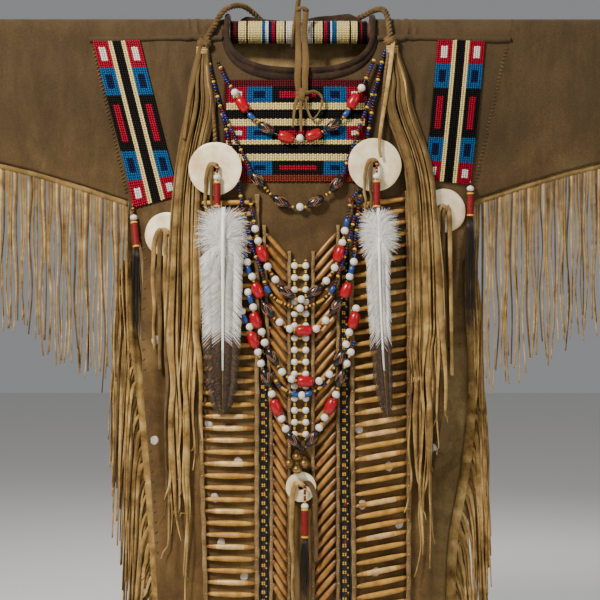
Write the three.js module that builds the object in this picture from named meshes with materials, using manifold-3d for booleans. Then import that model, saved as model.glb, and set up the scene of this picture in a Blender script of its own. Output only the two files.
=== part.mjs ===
// A plains war shirt hung on a rod: hide body, sleeves, quilled bib and shoulder strips, shell discs with
// thongs, feathers and horsehair, a hair-pipe breastplate, bead strands and brass bells.
// Millimetres. X runs along the rod, Y away from the viewer, Z up. The origin is under the crown of the
// hanging loop, where a hook bears.
import * as THREE from 'three';
import Module from 'manifold-3d';

const wasm = await Module();
wasm.setup();

// Driving sizes
const WALL = 2.2;
const SEAM = 0.35;
const SEAT = 0.8;
const ROD = {
  z: -110, radius: 18.8, wrapRadius: 19.1, wrapLeft: -125, wrapRight: 115, length: 1500, sides: 18,
};
const OVER_ROD = 21.5;
const YOKE_DROP = 15;
const FRONT_HEM = -1120;
const BACK_HEM = -1145;
const ARMPIT = { z: -400, x: 296, topZ: -89, topX: 365, depth: 5 };
const CUFF = { x: 738, bottom: -292 };
const NECK = { halfWidth: 122, z: -108, drop: 72, bandHalfWidth: 128, bandDrop: 86, power: 2.6 };
const BIB = { left: -129, right: 114, top: -199, bottom: -373, thick: 2.6 };
const STRIP = { width: 82, thick: 2.6 };
const DISC = { chest: 45, sleeve: 37.5, centre: 25.5, thick: 4, hole: 5 };
const PIPE = { half: 3, bulge: 4.6, backLift: 1.4, frontLift: 8.4 };

// Outline of the front hide below the armpits: left and right edges by height
const FRONT_EDGES = [
  { z: -400, left: -296, right: 296 },
  { z: -455, left: -280, right: 281 },
  { z: -499, left: -268, right: 273 },
  { z: -606, left: -270, right: 262 },
  { z: -713, left: -267, right: 250 },
  { z: -861, left: -255, right: 228 },
  { z: -990, left: -247, right: 226 },
  { z: -1150, left: -240, right: 224 },
];

// Outline of the back hide below the armpits
const BACK_EDGES = [
  { z: -400, left: -296, right: 296 },
  { z: -500, left: -299, right: 290 },
  { z: -606, left: -292, right: 293 },
  { z: -708, left: -277, right: 298 },
  { z: -861, left: -262, right: 286 },
  { z: -989, left: -252, right: 264 },
  { z: -1170, left: -243, right: 258 },
];

// Distance of the hides from the rod's plane on the centre line, by height
const DEPTHS = [
  { z: -80, front: 21, back: 21 },
  { z: -110, front: 22, back: 21 },
  { z: -180, front: 44, back: 25 },
  { z: -260, front: 56, back: 31 },
  { z: -380, front: 64, back: 38 },
  { z: -500, front: 68, back: 43 },
  { z: -700, front: 70, back: 46 },
  { z: -900, front: 68, back: 46 },
  { z: -1170, front: 64, back: 44 },
];

// Soft folds of the front and back hide near their sides: x at the top and hem, height span, depth
const FOLDS = [
  { topX: -262, hemX: -226, from: -520, to: -1200, depth: 7, half: 18 },
  { topX: -285, hemX: -252, from: -520, to: -1200, depth: -5, half: 16 },
  { topX: 255, hemX: 214, from: -520, to: -1200, depth: 7, half: 18 },
  { topX: 285, hemX: 240, from: -520, to: -1200, depth: -5, half: 16 },
  { topX: -196, hemX: -198, from: -140, to: -310, depth: -3.5, half: 11 },
  { topX: 196, hemX: 196, from: -140, to: -310, depth: -3.5, half: 10 },
];

const lerp = (a, b, t) => a + (b - a) * t;
const clamp = (v, low, high) => Math.min(high, Math.max(low, v));
const smooth = (t) => t * t * (3 - 2 * t);
const vec = (x, y, z) => new THREE.Vector3(x, y, z);

// The named column's value at height z, on smooth curves through the rows (highest row first)
function column(rows, name, z) {
  if (z >= rows[0].z) return rows[0][name];
  const last = rows[rows.length - 1];
  if (z <= last.z) return last[name];
  const k = rows.findIndex((row) => row.z < z) - 1;
  const slope = (i) => {
    const a = rows[Math.max(0, i - 1)];
    const b = rows[Math.min(rows.length - 1, i + 1)];
    return (b[name] - a[name]) / (b.z - a.z);
  };
  const span = rows[k + 1].z - rows[k].z;
  const t = (z - rows[k].z) / span;
  const rise = rows[k + 1][name] - rows[k][name];
  const m0 = slope(k) * span;
  const m1 = slope(k + 1) * span;
  return rows[k][name] + t * m0 + t * t * (3 * rise - 2 * m0 - m1) + t * t * t * (m0 + m1 - 2 * rise);
}

// Where the armhole seam runs at height z
const armhole = (z) => lerp(ARMPIT.topX, ARMPIT.x, (ARMPIT.topZ - z) / (ARMPIT.topZ - ARMPIT.z));

// The left or right edge of a hide at height z
function edgeAt(rows, name, z) {
  if (z > ARMPIT.z) return name === 'left' ? -armhole(z) : armhole(z);
  return column(rows, name, z);
}

// Half the distance between front and back at the sides: it narrows to the armpit and opens again below
// How far the sides have come together, from 0 at the rod to 1 at the armpit: they stay wide high up
const closing = (v) => smooth(v) ** 1.7;

function sideDepth(z) {
  if (z > ROD.z) return OVER_ROD;
  if (z > ARMPIT.z) return lerp(OVER_ROD, ARMPIT.depth, closing((ROD.z - z) / (ROD.z - ARMPIT.z)));
  return lerp(ARMPIT.depth, 24, smooth(clamp((ARMPIT.z - z) / 180, 0, 1)));
}

const halfWidth = (z) => Math.max(edgeAt(BACK_EDGES, 'right', z), -edgeAt(BACK_EDGES, 'left', z));
const crown = (x, z) => Math.max(0, 1 - (x / halfWidth(z)) ** 2);

// Depth of the soft folds at a point; each one starts and ends shallow
function folds(x, z) {
  let sum = 0;
  for (const f of FOLDS) {
    if (z > f.from || z < f.to) continue;
    const t = (z - f.from) / (f.to - f.from);
    const off = (x - lerp(f.topX, f.hemX, t)) / f.half;
    sum += f.depth * Math.exp(-off * off) * Math.sin(Math.PI * Math.sqrt(t));
  }
  return sum;
}

// Middle of the front wall: how far it stands in front of the rod's plane
function frontDepth(x, z) {
  return lerp(sideDepth(z), column(DEPTHS, 'front', z), crown(x, z)) + folds(x, z);
}

// Middle of the back wall; behind the neck it stands clear of the rod for the hanging loop
function backDepth(x, z) {
  const neck = Math.abs(x) < 128 ? 12 * (1 - (x / 128) ** 2) ** 2 : 0;
  const fade = 1 - smooth(clamp((ROD.z - z) / 130, 0, 1));
  return lerp(sideDepth(z), column(DEPTHS, 'back', z), crown(x, z)) + neck * fade;
}

// A point on the outside of the front hide, moved out by lift
const onFront = (x, z, lift = 0) => vec(x, -(frontDepth(x, z) + WALL / 2 + lift), z);

// A closed mesh put together from points and faces; it is turned outward when it is finished
class Shell {
  constructor() {
    this.xyz = [];
    this.faces = [];
    this.known = new Map();
  }

  point(p) {
    const key = `${p.x.toFixed(3)},${p.y.toFixed(3)},${p.z.toFixed(3)}`;
    if (!this.known.has(key)) {
      this.known.set(key, this.xyz.length / 3);
      this.xyz.push(p.x, p.y, p.z);
    }
    return this.known.get(key);
  }

  tri(a, b, c) {
    if (a !== b && b !== c && c !== a) this.faces.push(a, b, c);
  }

  quad(a, b, c, d) {
    this.tri(a, b, c);
    this.tri(a, c, d);
  }

  // Joins two rings of the same size
  band(ringA, ringB) {
    const n = ringA.length;
    for (let i = 0; i < n; i++) {
      const j = (i + 1) % n;
      this.quad(ringA[i], ringA[j], ringB[j], ringB[i]);
    }
  }

  cap(ring, reverse) {
    for (let i = 1; i < ring.length - 1; i++) {
      if (reverse) this.tri(ring[0], ring[i + 1], ring[i]);
      else this.tri(ring[0], ring[i], ring[i + 1]);
    }
  }

  geometry() {
    let volume = 0;
    const at = (i) => vec(this.xyz[3 * i], this.xyz[3 * i + 1], this.xyz[3 * i + 2]);
    for (let i = 0; i < this.faces.length; i += 3) {
      const [a, b, c] = [at(this.faces[i]), at(this.faces[i + 1]), at(this.faces[i + 2])];
      volume += a.dot(b.cross(c));
    }
    const faces = [...this.faces];
    if (volume < 0) {
      for (let i = 0; i < faces.length; i += 3) [faces[i + 1], faces[i + 2]] = [faces[i + 2], faces[i + 1]];
    }
    const geometry = new THREE.BufferGeometry();
    geometry.setAttribute('position', new THREE.Float32BufferAttribute(this.xyz, 3));
    geometry.setIndex(faces);
    return geometry;
  }
}

// A wall of even thickness on a grid of middle points, grid[column][row].
// ring closes the columns on themselves.
function wall(grid, thickness, ring = false) {
  const shell = new Shell();
  const cols = grid.length;
  const rows = grid[0].length;
  const across = (i, j) => {
    const before = ring ? grid[(i - 1 + cols) % cols][j] : grid[Math.max(0, i - 1)][j];
    const after = ring ? grid[(i + 1) % cols][j] : grid[Math.min(cols - 1, i + 1)][j];
    return after.clone().sub(before);
  };
  const down = (i, j) => grid[i][Math.min(rows - 1, j + 1)].clone().sub(grid[i][Math.max(0, j - 1)]);
  const side = (sign) => grid.map((line, i) => line.map((p, j) => {
    const normal = across(i, j).cross(down(i, j)).normalize();
    return shell.point(p.clone().addScaledVector(normal, sign * thickness / 2));
  }));
  const outer = side(1);
  const inner = side(-1);
  const spans = ring ? cols : cols - 1;
  for (let i = 0; i < spans; i++) {
    const n = (i + 1) % cols;
    for (let j = 0; j < rows - 1; j++) {
      shell.quad(outer[i][j], outer[i][j + 1], outer[n][j + 1], outer[n][j]);
      shell.quad(inner[i][j], inner[n][j], inner[n][j + 1], inner[i][j + 1]);
    }
    shell.quad(outer[i][0], outer[n][0], inner[n][0], inner[i][0]);
    shell.quad(outer[n][rows - 1], outer[i][rows - 1], inner[i][rows - 1], inner[n][rows - 1]);
  }
  if (!ring) {
    for (let j = 0; j < rows - 1; j++) {
      shell.quad(outer[0][j + 1], outer[0][j], inner[0][j], inner[0][j + 1]);
      shell.quad(outer[cols - 1][j], outer[cols - 1][j + 1], inner[cols - 1][j + 1], inner[cols - 1][j]);
    }
  }
  return shell.geometry();
}

// A solid through rings of points
function loft(rings, closed = false) {
  const shell = new Shell();
  const marked = rings.map((ring) => ring.map((p) => shell.point(p)));
  for (let i = 0; i + 1 < marked.length; i++) shell.band(marked[i], marked[i + 1]);
  if (closed) shell.band(marked[marked.length - 1], marked[0]);
  else {
    shell.cap(marked[0], true);
    shell.cap(marked[marked.length - 1], false);
  }
  return shell.geometry();
}

// Rings along a route that runs more or less in the upright plane; radius may change from point to point
function ringsAlong(route, radiusAt, sides, closed = false) {
  const n = route.length;
  return route.map((p, i) => {
    const before = closed ? route[(i - 1 + n) % n] : route[Math.max(0, i - 1)];
    const after = closed ? route[(i + 1) % n] : route[Math.min(n - 1, i + 1)];
    const tangent = after.clone().sub(before).normalize();
    const ahead = Math.abs(tangent.y) > 0.9 ? vec(1, 0, 0) : vec(0, -1, 0);
    const right = tangent.clone().cross(ahead).normalize();
    const up = right.clone().cross(tangent).normalize();
    const r = typeof radiusAt === 'function' ? radiusAt(i) : radiusAt;
    return Array.from({ length: sides }, (_, k) => {
      const a = 2 * Math.PI * (k + 0.5) / sides;
      return p.clone().addScaledVector(right, r * Math.cos(a)).addScaledVector(up, r * Math.sin(a));
    });
  });
}

const tube = (route, radiusAt, sides, closed = false) => loft(ringsAlong(route, radiusAt, sides, closed), closed);

// Points at even steps on a smooth curve through the given points
function curve(points, steps, closed = false) {
  const line = new THREE.CatmullRomCurve3(points, closed, 'centripetal');
  const all = line.getSpacedPoints(steps);
  return closed ? all.slice(0, steps) : all;
}

function box(centre, size) {
  const ring = (y) => [[-1, -1], [1, -1], [1, 1], [-1, 1]].map(([a, b]) =>
    vec(centre.x + a * size.x / 2, centre.y + y * size.y / 2, centre.z + b * size.z / 2));
  return loft([ring(-1), ring(1)]);
}

function solid(geometry) {
  return new wasm.Manifold(new wasm.Mesh({
    numProp: 3,
    vertProperties: new Float32Array(geometry.getAttribute('position').array),
    triVerts: new Uint32Array(geometry.index.array),
  }));
}

function fromSolid(made) {
  const mesh = made.getMesh();
  const geometry = new THREE.BufferGeometry();
  geometry.setAttribute('position', new THREE.BufferAttribute(mesh.vertProperties.slice(), 3));
  geometry.setIndex(new THREE.BufferAttribute(mesh.triVerts.slice(), 1));
  return geometry;
}

const join = (pieces) => fromSolid(pieces.map(solid).reduce((all, one) => all.add(one)));
const cut = (piece, tools) => {
  const tooled = tools.map(solid).reduce((left, tool) => left.subtract(tool), solid(piece));
  return fromSolid(tooled);
};

// A strip of square section along stations, each {front, back, topFront, topBack}. A strand grows out of each
// cell between stations i and i + 1 that strands[i] names: its sections are rings in the order
// front at i, front at i + 1, back at i + 1, back at i.
function comb(stations, strands) {
  const shell = new Shell();
  const at = stations.map((s) => ({
    front: shell.point(s.front),
    back: shell.point(s.back),
    topFront: shell.point(s.topFront),
    topBack: shell.point(s.topBack),
  }));
  for (let i = 0; i + 1 < at.length; i++) {
    const a = at[i];
    const b = at[i + 1];
    shell.quad(a.topFront, a.front, b.front, b.topFront);
    shell.quad(b.topBack, b.back, a.back, a.topBack);
    shell.quad(a.topBack, a.topFront, b.topFront, b.topBack);
    const root = [a.front, a.back, b.back, b.front];
    if (!strands[i]) {
      shell.quad(...root);
      continue;
    }
    let last = root;
    for (const section of strands[i]) {
      const [fa, fb, bb, ba] = section.map((p) => shell.point(p));
      const ring = [fa, ba, bb, fb];
      shell.band(last, ring);
      last = ring;
    }
    shell.quad(...last);
  }
  const first = at[0];
  const end = at[at.length - 1];
  shell.quad(first.topFront, first.topBack, first.back, first.front);
  shell.quad(end.topBack, end.topFront, end.front, end.back);
  return shell.geometry();
}

// One section of a strand: a flat rectangle about its centre, wide along its direction
function section(centre, wide, width, thick, ahead = vec(0, -1, 0)) {
  const w = wide.clone().normalize().multiplyScalar(width / 2);
  const t = ahead.clone().multiplyScalar(thick / 2);
  return [
    centre.clone().sub(w).add(t),
    centre.clone().add(w).add(t),
    centre.clone().add(w).sub(t),
    centre.clone().sub(w).sub(t),
  ];
}

// A small repeatable spread between -1 and 1 for strand number i
const spread = (i, seed = 0) => 2 * ((Math.sin(i * 12.9898 + seed * 78.233) * 43758.5453) % 1 + 1) % 2 - 1;

const PAINTS = {
  hide: { color: 0x8a7450, roughness: 0.9 },
  darkHide: { color: 0x4a3620, roughness: 0.85 },
  thong: { color: 0xa98a55, roughness: 0.85 },
  beadwork: { color: 0xb8323c, roughness: 0.7 },
  beads: { color: 0xe8e0d4, roughness: 0.4 },
  darkBeads: { color: 0x1a1712, roughness: 0.35 },
  shell: { color: 0xe6dcc0, roughness: 0.45 },
  bone: { color: 0xc79a58, roughness: 0.45 },
  feather: { color: 0xe9e6e2, roughness: 0.9 },
  hair: { color: 0x15110d, roughness: 0.7 },
  quill: { color: 0xa03838, roughness: 0.7 },
  brass: { color: 0x8a6a35, roughness: 0.4, metalness: 0.9 },
};

const shirt = new THREE.Group();

function add(name, geometry, paint) {
  const mesh = new THREE.Mesh(geometry, new THREE.MeshStandardMaterial(PAINTS[paint]));
  mesh.name = name;
  shirt.add(mesh);
}

// Rod: a turned bar, a little thicker where it is wrapped at the neck
{
  const end = ROD.length / 2;
  const stations = [
    [-end, ROD.radius], [ROD.wrapLeft, ROD.radius], [ROD.wrapLeft + 0.5, ROD.wrapRadius],
    [ROD.wrapRight - 0.5, ROD.wrapRadius], [ROD.wrapRight, ROD.radius], [end, ROD.radius],
  ];
  const ring = ([x, r]) => Array.from({ length: ROD.sides }, (_, k) => {
    const a = 2 * Math.PI * k / ROD.sides;
    return vec(x, r * Math.sin(a), ROD.z + r * Math.cos(a));
  });
  add('hanger_rod', loft(stations.map(ring)), 'beadwork');
}

const neckline = (x, halfWidth0, drop) =>
  NECK.z - drop * Math.max(0, 1 - Math.abs(x / halfWidth0) ** NECK.power) ** (1 / NECK.power);

// Front hide: from the ridge seam down to the hem, with the neckline cut out of it
{
  const across = [0, 0.07, 0.15, 0.23, 0.31, 0.39, 0.46, 0.54, 0.61, 0.69, 0.77, 0.85, 0.93, 1];
  const seam = ROD.z - YOKE_DROP - SEAM;
  const down = [seam, -160, -205, -255, -305, -352, ARMPIT.z, -460, -540, -640, -750, -870, -995, FRONT_HEM];
  const grid = across.map((u) => down.map((z) => {
    const x = lerp(edgeAt(FRONT_EDGES, 'left', z), edgeAt(FRONT_EDGES, 'right', z), u);
    return vec(x, -frontDepth(x, z), z);
  }));
  const clear = 1.6;
  const outline = [vec(NECK.bandHalfWidth + clear, 0, -60), vec(-NECK.bandHalfWidth - clear, 0, -60)];
  for (let k = 0; k <= 20; k++) {
    const c = -Math.cos(Math.PI * k / 20);
    const x = NECK.bandHalfWidth * Math.sign(c) * Math.abs(c) ** 0.85;
    outline.push(vec(x * (1 + clear / NECK.bandHalfWidth), 0, neckline(x, NECK.bandHalfWidth, NECK.bandDrop) - clear));
  }
  const cutter = loft([-90, -2].map((y) => outline.map((p) => vec(p.x, y, p.z))));
  add('front_hide', cut(wall(grid, WALL), [cutter]), 'hide');
}

// Heights of the back hide's rows below the rod
const BACK_ROWS = [ROD.z, -150, -205, -270, -335, ARMPIT.z, -480, -580, -690, -800, -915, -1030, BACK_HEM];

// The back hide's edge as it is built, straight from row to row
function backEdge(name, z) {
  const k = Math.max(1, BACK_ROWS.findIndex((row) => row <= z));
  const [a, b] = [BACK_ROWS[k - 1], BACK_ROWS[k]];
  const t = (z - a) / (b - a);
  const at = (row) => {
    const x = edgeAt(BACK_EDGES, name, row);
    return vec(x, backDepth(x, row), row);
  };
  return at(a).lerp(at(b), t);
}

// Back hide: from the ridge seam on the front, over the rod and down the back; the neck is cut out of it
{
  const arc = Math.PI * OVER_ROD;
  const along = [0, YOKE_DROP];
  for (let k = 1; k <= 6; k++) along.push(YOKE_DROP + arc * k / 6);
  for (const z of BACK_ROWS.slice(1)) along.push(YOKE_DROP + arc + ROD.z - z);
  const across = [0, 0.08, 0.17, 0.26, 0.34, 0.42, 0.5, 0.58, 0.66, 0.74, 0.83, 0.92, 1];
  const grid = across.map((u) => along.map((s) => {
    const place = (z) => lerp(edgeAt(BACK_EDGES, 'left', z), edgeAt(BACK_EDGES, 'right', z), u);
    if (s <= YOKE_DROP) {
      const z = ROD.z - (YOKE_DROP - s);
      return vec(place(z), -frontDepth(place(z), z), z);
    }
    if (s < YOKE_DROP + arc) {
      const a = (s - YOKE_DROP) / OVER_ROD;
      const z = ROD.z + OVER_ROD * Math.sin(a);
      return vec(place(z), -OVER_ROD * Math.cos(a), z);
    }
    const z = ROD.z - (s - YOKE_DROP - arc);
    return vec(place(z), backDepth(place(z), z), z);
  }));
  const half = NECK.bandHalfWidth + 1.9;
  const cutters = [
    box(vec(0, -40, -95), vec(2 * half, 80.1, 80)),
    box(vec(0, 40, -82.5), vec(2 * half, 80.1, 60)),
  ];
  add('back_hide', cut(wall(grid, WALL), cutters), 'hide');
}

// Collar: a band that stands on the neck's edge, over the rod at the sides, with a rolled rim
{
  // The rim behind the neck, left to right
  const BACK_RIM = [
    { z: 1, x: -117, rise: -93 },
    { z: 0.86, x: -92, rise: -80 },
    { z: 0.7, x: -58, rise: -84 },
    { z: 0.5, x: -14, rise: -86 },
    { z: 0.3, x: 40, rise: -78 },
    { z: 0.14, x: 84, rise: -75 },
    { z: 0, x: 117, rise: -90 },
  ];
  const stations = [];
  const FRONT_STEPS = 13;
  for (let k = 0; k <= FRONT_STEPS; k++) {
    const a = Math.PI * k / FRONT_STEPS;
    const c = -Math.cos(a);
    const x = Math.sign(c) * Math.abs(c) ** 0.85;
    const rimX = NECK.halfWidth * x;
    const lowX = NECK.bandHalfWidth * x;
    const rimZ = neckline(rimX, NECK.halfWidth, NECK.drop);
    const lowZ = neckline(lowX, NECK.bandHalfWidth, NECK.bandDrop);
    stations.push({
      low: vec(lowX, -frontDepth(lowX, lowZ), lowZ),
      rim: vec(rimX, -frontDepth(rimX, rimZ) - 3.2, rimZ),
      out: vec(0, -1, 0),
    });
  }
  const overRod = (side, a) => ({
    low: vec(side * NECK.bandHalfWidth, -OVER_ROD * Math.cos(a), ROD.z + OVER_ROD * Math.sin(a)),
    rim: vec(side * (NECK.halfWidth - 1), -(OVER_ROD + 6) * Math.cos(a), ROD.z + (OVER_ROD + 6) * Math.sin(a)),
    out: vec(side * 0.7, -0.7 * Math.cos(a), 0.7 * Math.sin(a)).normalize(),
  });
  const climb = [0.17, 0.35, 0.53, 0.71, 0.87].map((t) => t * Math.PI);
  for (const a of climb) stations.push(overRod(1, a));
  for (const row of [...BACK_RIM].reverse()) {
    const lowX = row.x * 1.05;
    stations.push({
      low: vec(lowX, backDepth(lowX, ROD.z - 1.5), ROD.z - 1.5),
      rim: vec(row.x, backDepth(lowX, ROD.z) + 2.5, row.rise),
      out: vec(0, 1, 0),
    });
  }
  for (const a of [...climb].reverse()) stations.push(overRod(-1, a));
  const rings = stations.map((s) => {
    const up = s.rim.clone().sub(s.low);
    const length = up.length();
    up.normalize();
    const out = s.out.clone().addScaledVector(up, -s.out.dot(up)).normalize();
    const at = (rise, lift) => s.low.clone().addScaledVector(up, rise).addScaledVector(out, lift);
    return [
      at(0, 1.6), at(length - 6, 2), at(length - 2, 4.6), at(length + 1, 1), at(length - 3, -1.8), at(0, -1.4),
    ];
  });
  add('collar', loft(rings, true), 'darkHide');
}

// Sleeves: hide tubes round the rod, closed along their lower seam
{
  const SLEEVE = [
    { z: 0, bottom: ARMPIT.z, bulge: 0 },
    { z: -0.15, bottom: -376, bulge: 3 },
    { z: -0.35, bottom: -349, bulge: 5 },
    { z: -0.6, bottom: -322, bulge: 4 },
    { z: -0.82, bottom: -304, bulge: 3 },
    { z: -1, bottom: CUFF.bottom, bulge: 3 },
  ];
  const drops = [0, 0.18, 0.4, 0.64, 0.84, 0.97];
  for (const side of [-1, 1]) {
    const rings = SLEEVE.map((row) => {
      const u = -row.z;
      const reach = (z) => lerp(armhole(Math.max(z, ARMPIT.z)) + SEAM, CUFF.x, u) * side;
      const depth = (v) => lerp(OVER_ROD, ARMPIT.depth, closing(v)) + row.bulge * Math.sin(Math.PI * v) ** 2
        * (1 + 0.5 * Math.sin(9 * u + 4 * v));
      const ring = [];
      for (const v of drops) ring.push(vec(0, -depth(v), lerp(ROD.z, row.bottom, v)));
      ring.push(vec(0, 0, row.bottom));
      for (const v of [...drops].reverse()) ring.push(vec(0, depth(v), lerp(ROD.z, row.bottom, v)));
      for (let k = 1; k < 6; k++) {
        const a = Math.PI * k / 6;
        ring.push(vec(0, OVER_ROD * Math.cos(a), ROD.z + OVER_ROD * Math.sin(a)));
      }
      return ring.map((p) => vec(reach(p.z), p.y, p.z));
    });
    const grid = rings[0].map((_, k) => rings.map((ring) => ring[k]));
    add(side < 0 ? 'sleeve_left' : 'sleeve_right', wall(grid, WALL, true), 'hide');
  }
}

// A flat panel that lies on the front hide: corner(u, v) gives x and z, u across and v down
function panel(corner, thick, columns, rows) {
  const shell = new Shell();
  const side = (lift) => Array.from({ length: columns + 1 }, (_, i) => Array.from({ length: rows + 1 }, (_, j) => {
    const [x, z] = corner(i / columns, j / rows);
    return shell.point(onFront(x, z, lift));
  }));
  const top = side(SEAT + thick);
  const base = side(SEAT);
  for (let i = 0; i < columns; i++) {
    for (let j = 0; j < rows; j++) {
      shell.quad(top[i][j], top[i][j + 1], top[i + 1][j + 1], top[i + 1][j]);
      shell.quad(base[i][j], base[i + 1][j], base[i + 1][j + 1], base[i][j + 1]);
    }
    shell.quad(top[i][0], top[i + 1][0], base[i + 1][0], base[i][0]);
    shell.quad(base[i][rows], base[i + 1][rows], top[i + 1][rows], top[i][rows]);
  }
  for (let j = 0; j < rows; j++) {
    shell.quad(top[0][j + 1], top[0][j], base[0][j], base[0][j + 1]);
    shell.quad(top[columns][j], top[columns][j + 1], base[columns][j + 1], base[columns][j]);
  }
  return shell.geometry();
}

add('bib_panel', panel((u, v) => [lerp(BIB.left, BIB.right, u), lerp(BIB.top, BIB.bottom, v)], BIB.thick, 6, 5),
  'beadwork');

// Shoulder strips: from just below the ridge seam down the front hide
const STRIPS = [
  { name: 'strip_left', topX: -314, bottomX: -245, bottomZ: -404, tilt: 14.5, seat: 1.9 },
  { name: 'strip_right', topX: 276, bottomX: 253, bottomZ: -371, tilt: 5.3, seat: 1.2 },
];
for (const s of STRIPS) {
  const half = STRIP.width / 2;
  const top = ROD.z - YOKE_DROP - 3;
  const point = (t, across, lift) => {
    const z = lerp(s.bottomZ, top, t);
    const slope = -Math.sin(THREE.MathUtils.degToRad(s.tilt)) * Math.sign(s.topX) * across * half;
    const low = clamp((z - s.bottomZ) / 60, 0, 1);
    return onFront(lerp(s.bottomX, s.topX, t) + across * half, z + slope * (1 - low), s.seat + lift);
  };
  const rings = Array.from({ length: 9 }, (_, k) => [
    point(k / 8, -1, STRIP.thick), point(k / 8, 0, STRIP.thick), point(k / 8, 1, STRIP.thick),
    point(k / 8, 1, 0), point(k / 8, 0, 0), point(k / 8, -1, 0),
  ]);
  add(s.name, loft(rings), 'beadwork');
}

// Side fringes: a laced strip along each side edge of the back hide.
// Its strands turn down and hang in 3 layers.
{
  const COUNT = 19;
  const TOP = -515;
  const BOTTOM = -1095;
  const ROOT = 10;
  for (const side of [-1, 1]) {
    const name = side < 0 ? 'left' : 'right';
    const edge = (z) => backEdge(name, z).x + side * (SEAM + 0.35);
    const plane = (z) => backEdge(name, z).y;
    const stations = [];
    const strands = [];
    const station = (z) => {
      const x = edge(z);
      const y = plane(z);
      stations.push({
        front: vec(x + side * 7, y - 1.3, z), back: vec(x + side * 7, y + 1.3, z),
        topFront: vec(x, y - 1.3, z), topBack: vec(x, y + 1.3, z),
      });
    };
    station(TOP + 12);
    for (let k = 0; k < COUNT; k++) {
      const z = lerp(TOP, BOTTOM, k / (COUNT - 1));
      strands.push(null);
      station(z);
      station(z - ROOT);
      const layer = [-4.6, 0, 4.6][k % 3];
      const length = Math.min(345 + 40 * spread(k, 3), z + 1150);
      const x0 = edge(z) + side * 7;
      const y = plane(z) + layer;
      const lean = (d) => x0 + side * (9 + 0.03 * d);
      const turn = vec(side * 0.7, 0, 0.7);
      strands.push([
        section(vec(x0 + side * 6, plane(z) + layer * 0.5, z - 9), turn, 9, 2.2),
        section(vec(lean(40), y, z - 32), vec(side, 0, 0.15), 6.6, 1.8),
        section(vec(lean(length), y + 0.4 * spread(k, 5), z - length), vec(side, 0, 0), 3, 1.4),
      ].map((s) => [s[1], s[0], s[3], s[2]]));
    }
    strands.push(null);
    station(BOTTOM - ROOT - 12);
    add(`side_fringe_${name}`, comb(stations, strands), 'thong');
  }
}

// Sleeve fringes: a strip below each sleeve's lower seam, cut into strands
{
  const COUNT = 19;
  for (const side of [-1, 1]) {
    const stations = [];
    const strands = [];
    const bottom = (t) => lerp(ARMPIT.z, CUFF.bottom, 1 - (1 - t) ** 1.35) - 1.5;
    const reach = (t) => side * lerp(302, CUFF.x - 4, t);
    for (let k = 0; k <= COUNT; k++) {
      const t = k / COUNT;
      const [x, z] = [reach(t), bottom(t) - 3];
      stations.push({
        front: vec(x, -1.4, z - 8), back: vec(x, 1.4, z - 8), topFront: vec(x, -1.4, z), topBack: vec(x, 1.4, z),
      });
    }
    for (let k = 0; k < COUNT; k++) {
      const t = (k + 0.5) / COUNT;
      const [x, z] = [reach(t), bottom(t) - 11];
      const length = lerp(330, 190, t) * (1 + 0.08 * spread(k, 7 + side));
      const pitch = (CUFF.x - 306) / COUNT;
      const wide = vec(side, 0, 0);
      strands.push([
        section(vec(x, 0, z - 14), wide, pitch * 0.55, 2),
        section(vec(x + 2 * spread(k, 9), 3 * spread(k, 2), z - length * 0.5), wide, pitch * 0.45, 1.8),
        section(vec(x + 4 * spread(k, 4), 4 * spread(k, 6), z - length), wide, pitch * 0.28, 1.4),
      ]);
    }
    add(side < 0 ? 'sleeve_fringe_left' : 'sleeve_fringe_right', comb(stations, strands), 'thong');
  }
}

// Shoulder thong bundles: strands by their x at four heights, the length of each, and their layer
const BUNDLES = {
  left: {
    root: { x: -168, z: -152, half: 20, lift: 4.2 },
    strands: [
      { a: -196, b: -213, c: -223, end: -968, lift: 12.6 },
      { a: -186, b: -205, c: -212, end: -1010, lift: 12.6 },
      { a: -177, b: -196, c: -201, end: -880, lift: 12.6 },
      { a: -169, b: -188, c: -192, end: -1046, lift: 12.6 },
      { a: -161, b: -181, c: -183, end: -905, lift: 12.6 },
      { a: -153, b: -174, c: -174, end: -836, lift: 12.6 },
    ],
  },
  right: {
    root: { x: 158, z: -150, half: 20, lift: 4.2 },
    strands: [
      { a: 141, b: 182, c: 188, end: -750, lift: 12.3 },
      { a: 151, b: 191, c: 197, end: -930, lift: 12.3 },
      { a: 160, b: 199, c: 207, end: -1040, lift: 12.3 },
      { a: 169, b: 207, c: 217, end: -985, lift: 12.3 },
      { a: 177, b: 215, c: 227, end: -880, lift: 12.3 },
      { a: 185, b: 223, c: 238, end: -800, lift: 12.3 },
    ],
  },
};
const BUNDLE_LEVELS = { a: -250, b: -400, c: -600 };
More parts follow.
